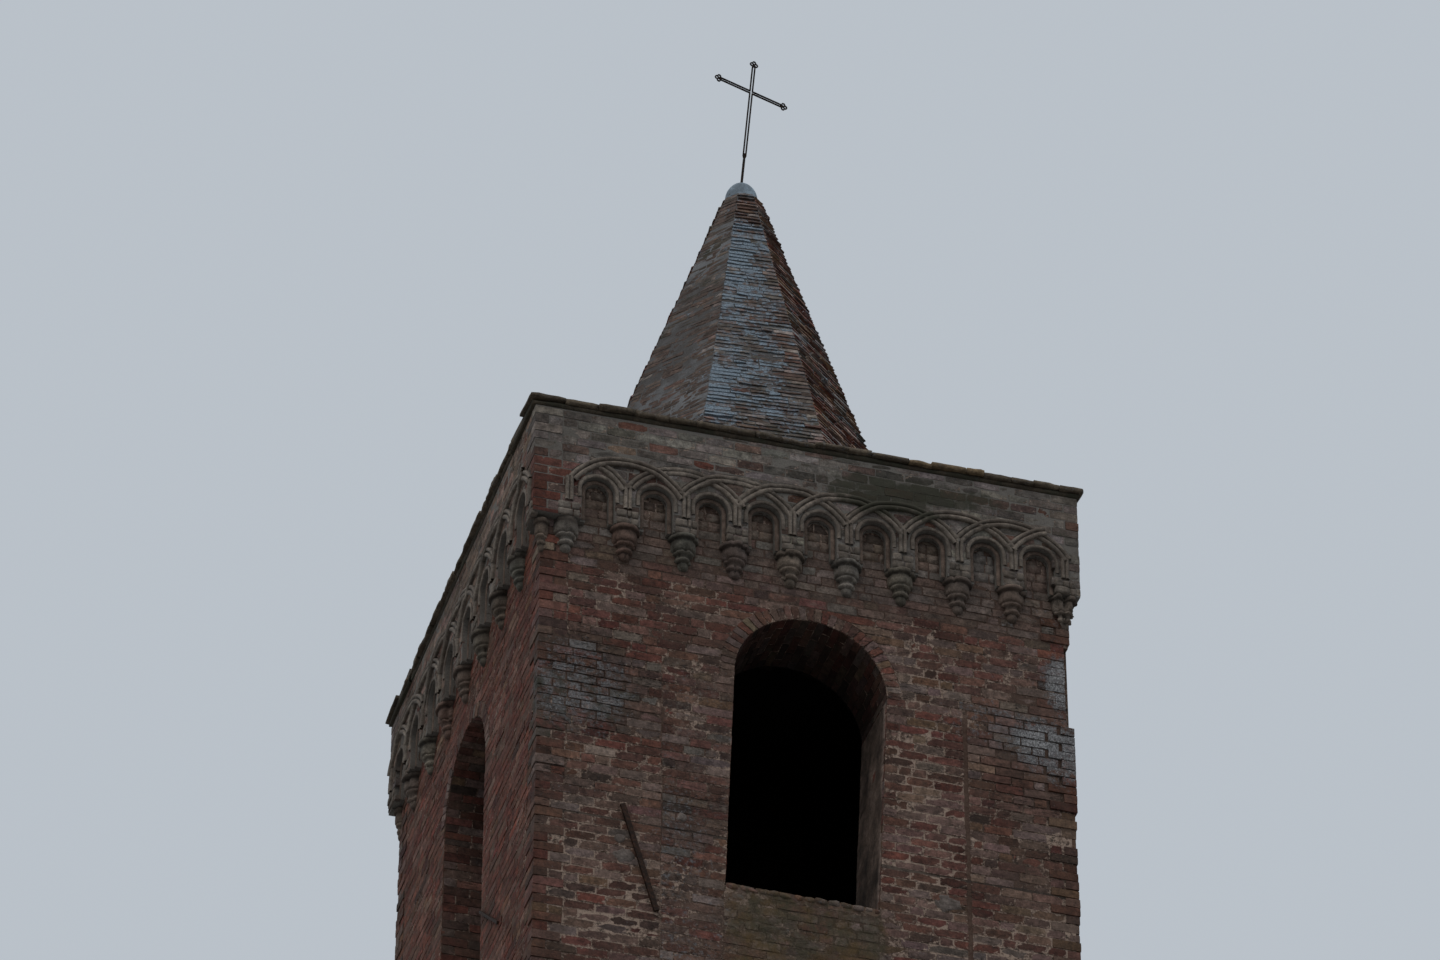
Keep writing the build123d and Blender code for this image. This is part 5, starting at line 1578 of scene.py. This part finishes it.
for f in range(8):
    ang = math.radians(-90 + 45 * f + SPIRE_TURN)
    half_a = math.radians(22.5)

    def ring_pt(a, s):
        r_ = SPIRE_R0 + (SPIRE_R1 - SPIRE_R0) * s
        return np.array((SPIRE_X0 + LEAN * s + r_ * math.cos(a), r_ * math.sin(a), SPIRE_Z0 + (SPIRE_Z1 - SPIRE_Z0) * s))

    def face_pt(u, s):
        a, b_ = ring_pt(ang - half_a, s), ring_pt(ang + half_a, s)
        mid_ = (a + b_) / 2
        d = (b_ - a) / np.linalg.norm(b_ - a)
        return mid_ + d * u

    def width(s):
        return float(np.linalg.norm(ring_pt(ang + half_a, s) - ring_pt(ang - half_a, s)))

    up = face_pt(0, 1) - face_pt(0, 0)
    slant = float(np.linalg.norm(up))
    across = ring_pt(ang + half_a, 0) - ring_pt(ang - half_a, 0)
    nrm = np.cross(across, up)
    nrm /= np.linalg.norm(nrm)
    mix, lich, wash, damp, flush = spire_tints[f]
    b = Bricks()
    n_c = round(slant / 0.058)
    below = []
    for i in range(n_c):
        s0, s1 = ((i + 0.03) / n_c, (i + 0.98) / n_c) if f == 0 else ((i + 0.08) / n_c, (i + 0.94) / n_c)
        w0, w1 = width(s0) / 2, width(s1) / 2
        x, here = -w0, []
        while x < w0 - 0.005:
            length = rng.choice([0.13, 0.21, 0.26]) * rng.uniform(0.85, 1.1)
            if w0 - (x + length) < 0.09:
                length = w0 - x
            xr = x + length
            lo0, hi0 = x, xr - (0 if xr >= w0 - 1e-6 else 0.006 if f == 0 else 0.010)
            lo1 = -w1 + 0.002 if x <= -w0 + 1e-6 else max(x, -w1)
            hi1 = w1 - 0.002 if xr >= w0 - 1e-6 else min(hi0, w1)
            if hi1 - lo1 < 0.01:
                x = xr
                continue
            um, sm = (lo0 + hi0) / 2, (s0 + s1) / 2
            n1 = float(fbm2(um * 1.2 + 5 * f, sm * 5, 23, 3))
            lo_out = flush + rng.uniform(0.0, 0.012)
            hi_out = flush * 0.2 + rng.uniform(-0.002, 0.004)
            if rng.random() < 0.04:
                lo_out += 0.010
            top_rough = 0.008 * float(step(0.80, 0.95, sm))
            lo_out += top_rough * rng.uniform(0.3, 1.4)
            L = min(1.0, max(0.0, lich * (0.45 + 1.1 * n1) * rng.uniform(0.70, 1.20) * (0.75 if sm > 0.86 else 1)))
            Dm = min(1.0, max(0.0, damp + 0.7 * max(0, 0.40 - n1)))
            if f == 0:
                stain = blob(um, sm, 0.45, 0.08, 0.42, 0.15) + 0.6 * blob(um, sm, 0.30, 0.36, 0.16, 0.06) + 0.5 * blob(um, sm, -0.1, 0.22, 0.2, 0.05)
                L, Dm = L * max(0.1, 1 - 1.1 * stain), min(1.0, Dm + 0.40 * stain)
                L *= 1 - 0.55 * float(step(0.26, 0.02, w0 - um)) - 0.35 * float(step(0.12, 0.0, w0 + um)) * rng.random()
            if f == 7:
                L += 0.25 * float(step(0.14, 0.0, w0 - um)) * rng.random()
            c = [face_pt(lo0, s0), face_pt(hi0, s0), face_pt(hi1, s1), face_pt(lo1, s1)]
            if c[2][2] < TOP + 0.16 + lift(c[2][0]):
                # below the roof
                x = xr
                continue
            m2 = mix if sm < 0.86 else [0.1, 1.1, 1.8, 0.3, 0.9]
            if f == 7:
                lo_out, hi_out = 0.3 * lo_out, 0.3 * lo_out
            col = pick(m2)
            col = col + (np.array((0.116, 0.092, 0.078)) - col) * (0.60 if f == 7 else 0.35 if f == 0 else 0.0)
            # painted lighter: partly this face's paler tone, partly painted light making up for the key light that
            # falls on it less
            if f == 1:
                col = col * 1.65
            if f == 7:
                col = col * 0.84
            near = min(um + w0, w0 - um)
            if f in (7, 0) and near < 0.10 and rng.random() < 0.35:
                col = col * 1.5 + 0.04
            b.add(c, nrm, (lo_out, lo_out, hi_out, hi_out), col, (L, min(1, wash * (0.7 + 0.6 * n1)), Dm, rng.random()))
            x = xr
    b.mesh("spire_bricks_%d" % f, SPIRE, "spire_brick", 2, 1, pillow=0.001, rough=0.0020, jitter=0.0040, embed=0.022, smooth=False, seed=30 + f)

# ---------------------------------------------------------------- camera, light and floor
cam_data = bpy.data.cameras.new("camera")
cam = bpy.data.objects.new("camera", cam_data)
bpy.context.scene.collection.objects.link(cam)
yaw, pitch, roll = math.radians(16.79449), math.radians(38.31525), math.radians(0.0456)
fwd = Vector((math.sin(yaw) * math.cos(pitch), math.cos(yaw) * math.cos(pitch), math.sin(pitch)))
right = Vector((math.cos(yaw), -math.sin(yaw), 0))
up = right.cross(fwd)
r2 = right * math.cos(roll) + up * math.sin(roll)
u2 = up * math.cos(roll) - right * math.sin(roll)
rot = Matrix((r2, u2, -fwd)).transposed()
cam.matrix_world = Matrix.Translation((-13.71784, -45.23648, -15.54749)) @ rot.to_4x4()
cam_data.sensor_width = 36.0
cam_data.lens = 162.5
cam_data.clip_start, cam_data.clip_end = 0.5, 1000.0
bpy.context.scene.camera = cam

# an even pale sky, and a dimmer room below the horizon
world = bpy.data.worlds.new("pale")
world.use_nodes = True
wt = world.node_tree
bg = wt.nodes["Background"]
bg.inputs["Strength"].default_value = 1.0
direction = wt.nodes.new("ShaderNodeTexCoord")
parts = wt.nodes.new("ShaderNodeSeparateXYZ")
shade = wt.nodes.new("ShaderNodeValToRGB")
wt.links.new(direction.outputs["Generated"], parts.inputs[0])
wt.links.new(parts.outputs["Z"], shade.inputs[0])
wt.links.new(shade.outputs[0], bg.inputs["Color"])
for el, (place, colour) in zip(shade.color_ramp.elements, ((0.0, (0.16, 0.155, 0.15)), (0.12, (0.49, 0.535, 0.585)))):
    el.position, el.color = place, (*colour, 1)
bpy.context.scene.world = world


def sun(name, azimuth, elevation, strength, spread, colour=(1, 1, 1)):
    d = bpy.data.lights.new(name, "SUN")
    d.energy, d.angle, d.color = strength, math.radians(spread), colour
    o = bpy.data.objects.new(name, d)
    bpy.context.scene.collection.objects.link(o)
    a, e = math.radians(azimuth), math.radians(elevation)
    back = Vector((math.sin(a) * math.cos(e), -math.cos(a) * math.cos(e), math.sin(e)))
    o.rotation_mode = "QUATERNION"
    o.rotation_quaternion = (-back).to_track_quat("-Z", "Y")
    return o


sun("key", -50, 50, 0.62, 50, (1.0, 0.86, 0.74))
sun("fill", 40, 62, 0.30, 60, (1.0, 0.88, 0.78))

floor = bpy.data.meshes.new("floor")
n = 96
floor.from_pydata([(0, 0, 0)] + [(12 * math.cos(2 * math.pi * k / n), 12 * math.sin(2 * math.pi * k / n), 0) for k in range(n)],
                  [], [(0, k + 1, (k + 1) % n + 1) for k in range(n)])
fl = Nodes("floor_pale")
fl.finish(fl.mix(fl.noise(0.6, 3), (0.52, 0.53, 0.54), (0.56, 0.57, 0.58)), rough=0.9)
floor.materials.append(fl.m)
floor_ob = bpy.data.objects.new("floor", floor)
floor_ob.location.z = -0.002
bpy.context.scene.collection.objects.link(floor_ob)

bpy.context.scene.view_settings.view_transform = "Standard"
bpy.context.scene.view_settings.look = "None"
bpy.context.scene.view_settings.exposure = 0.0
bpy.context.scene.view_settings.gamma = 1.0
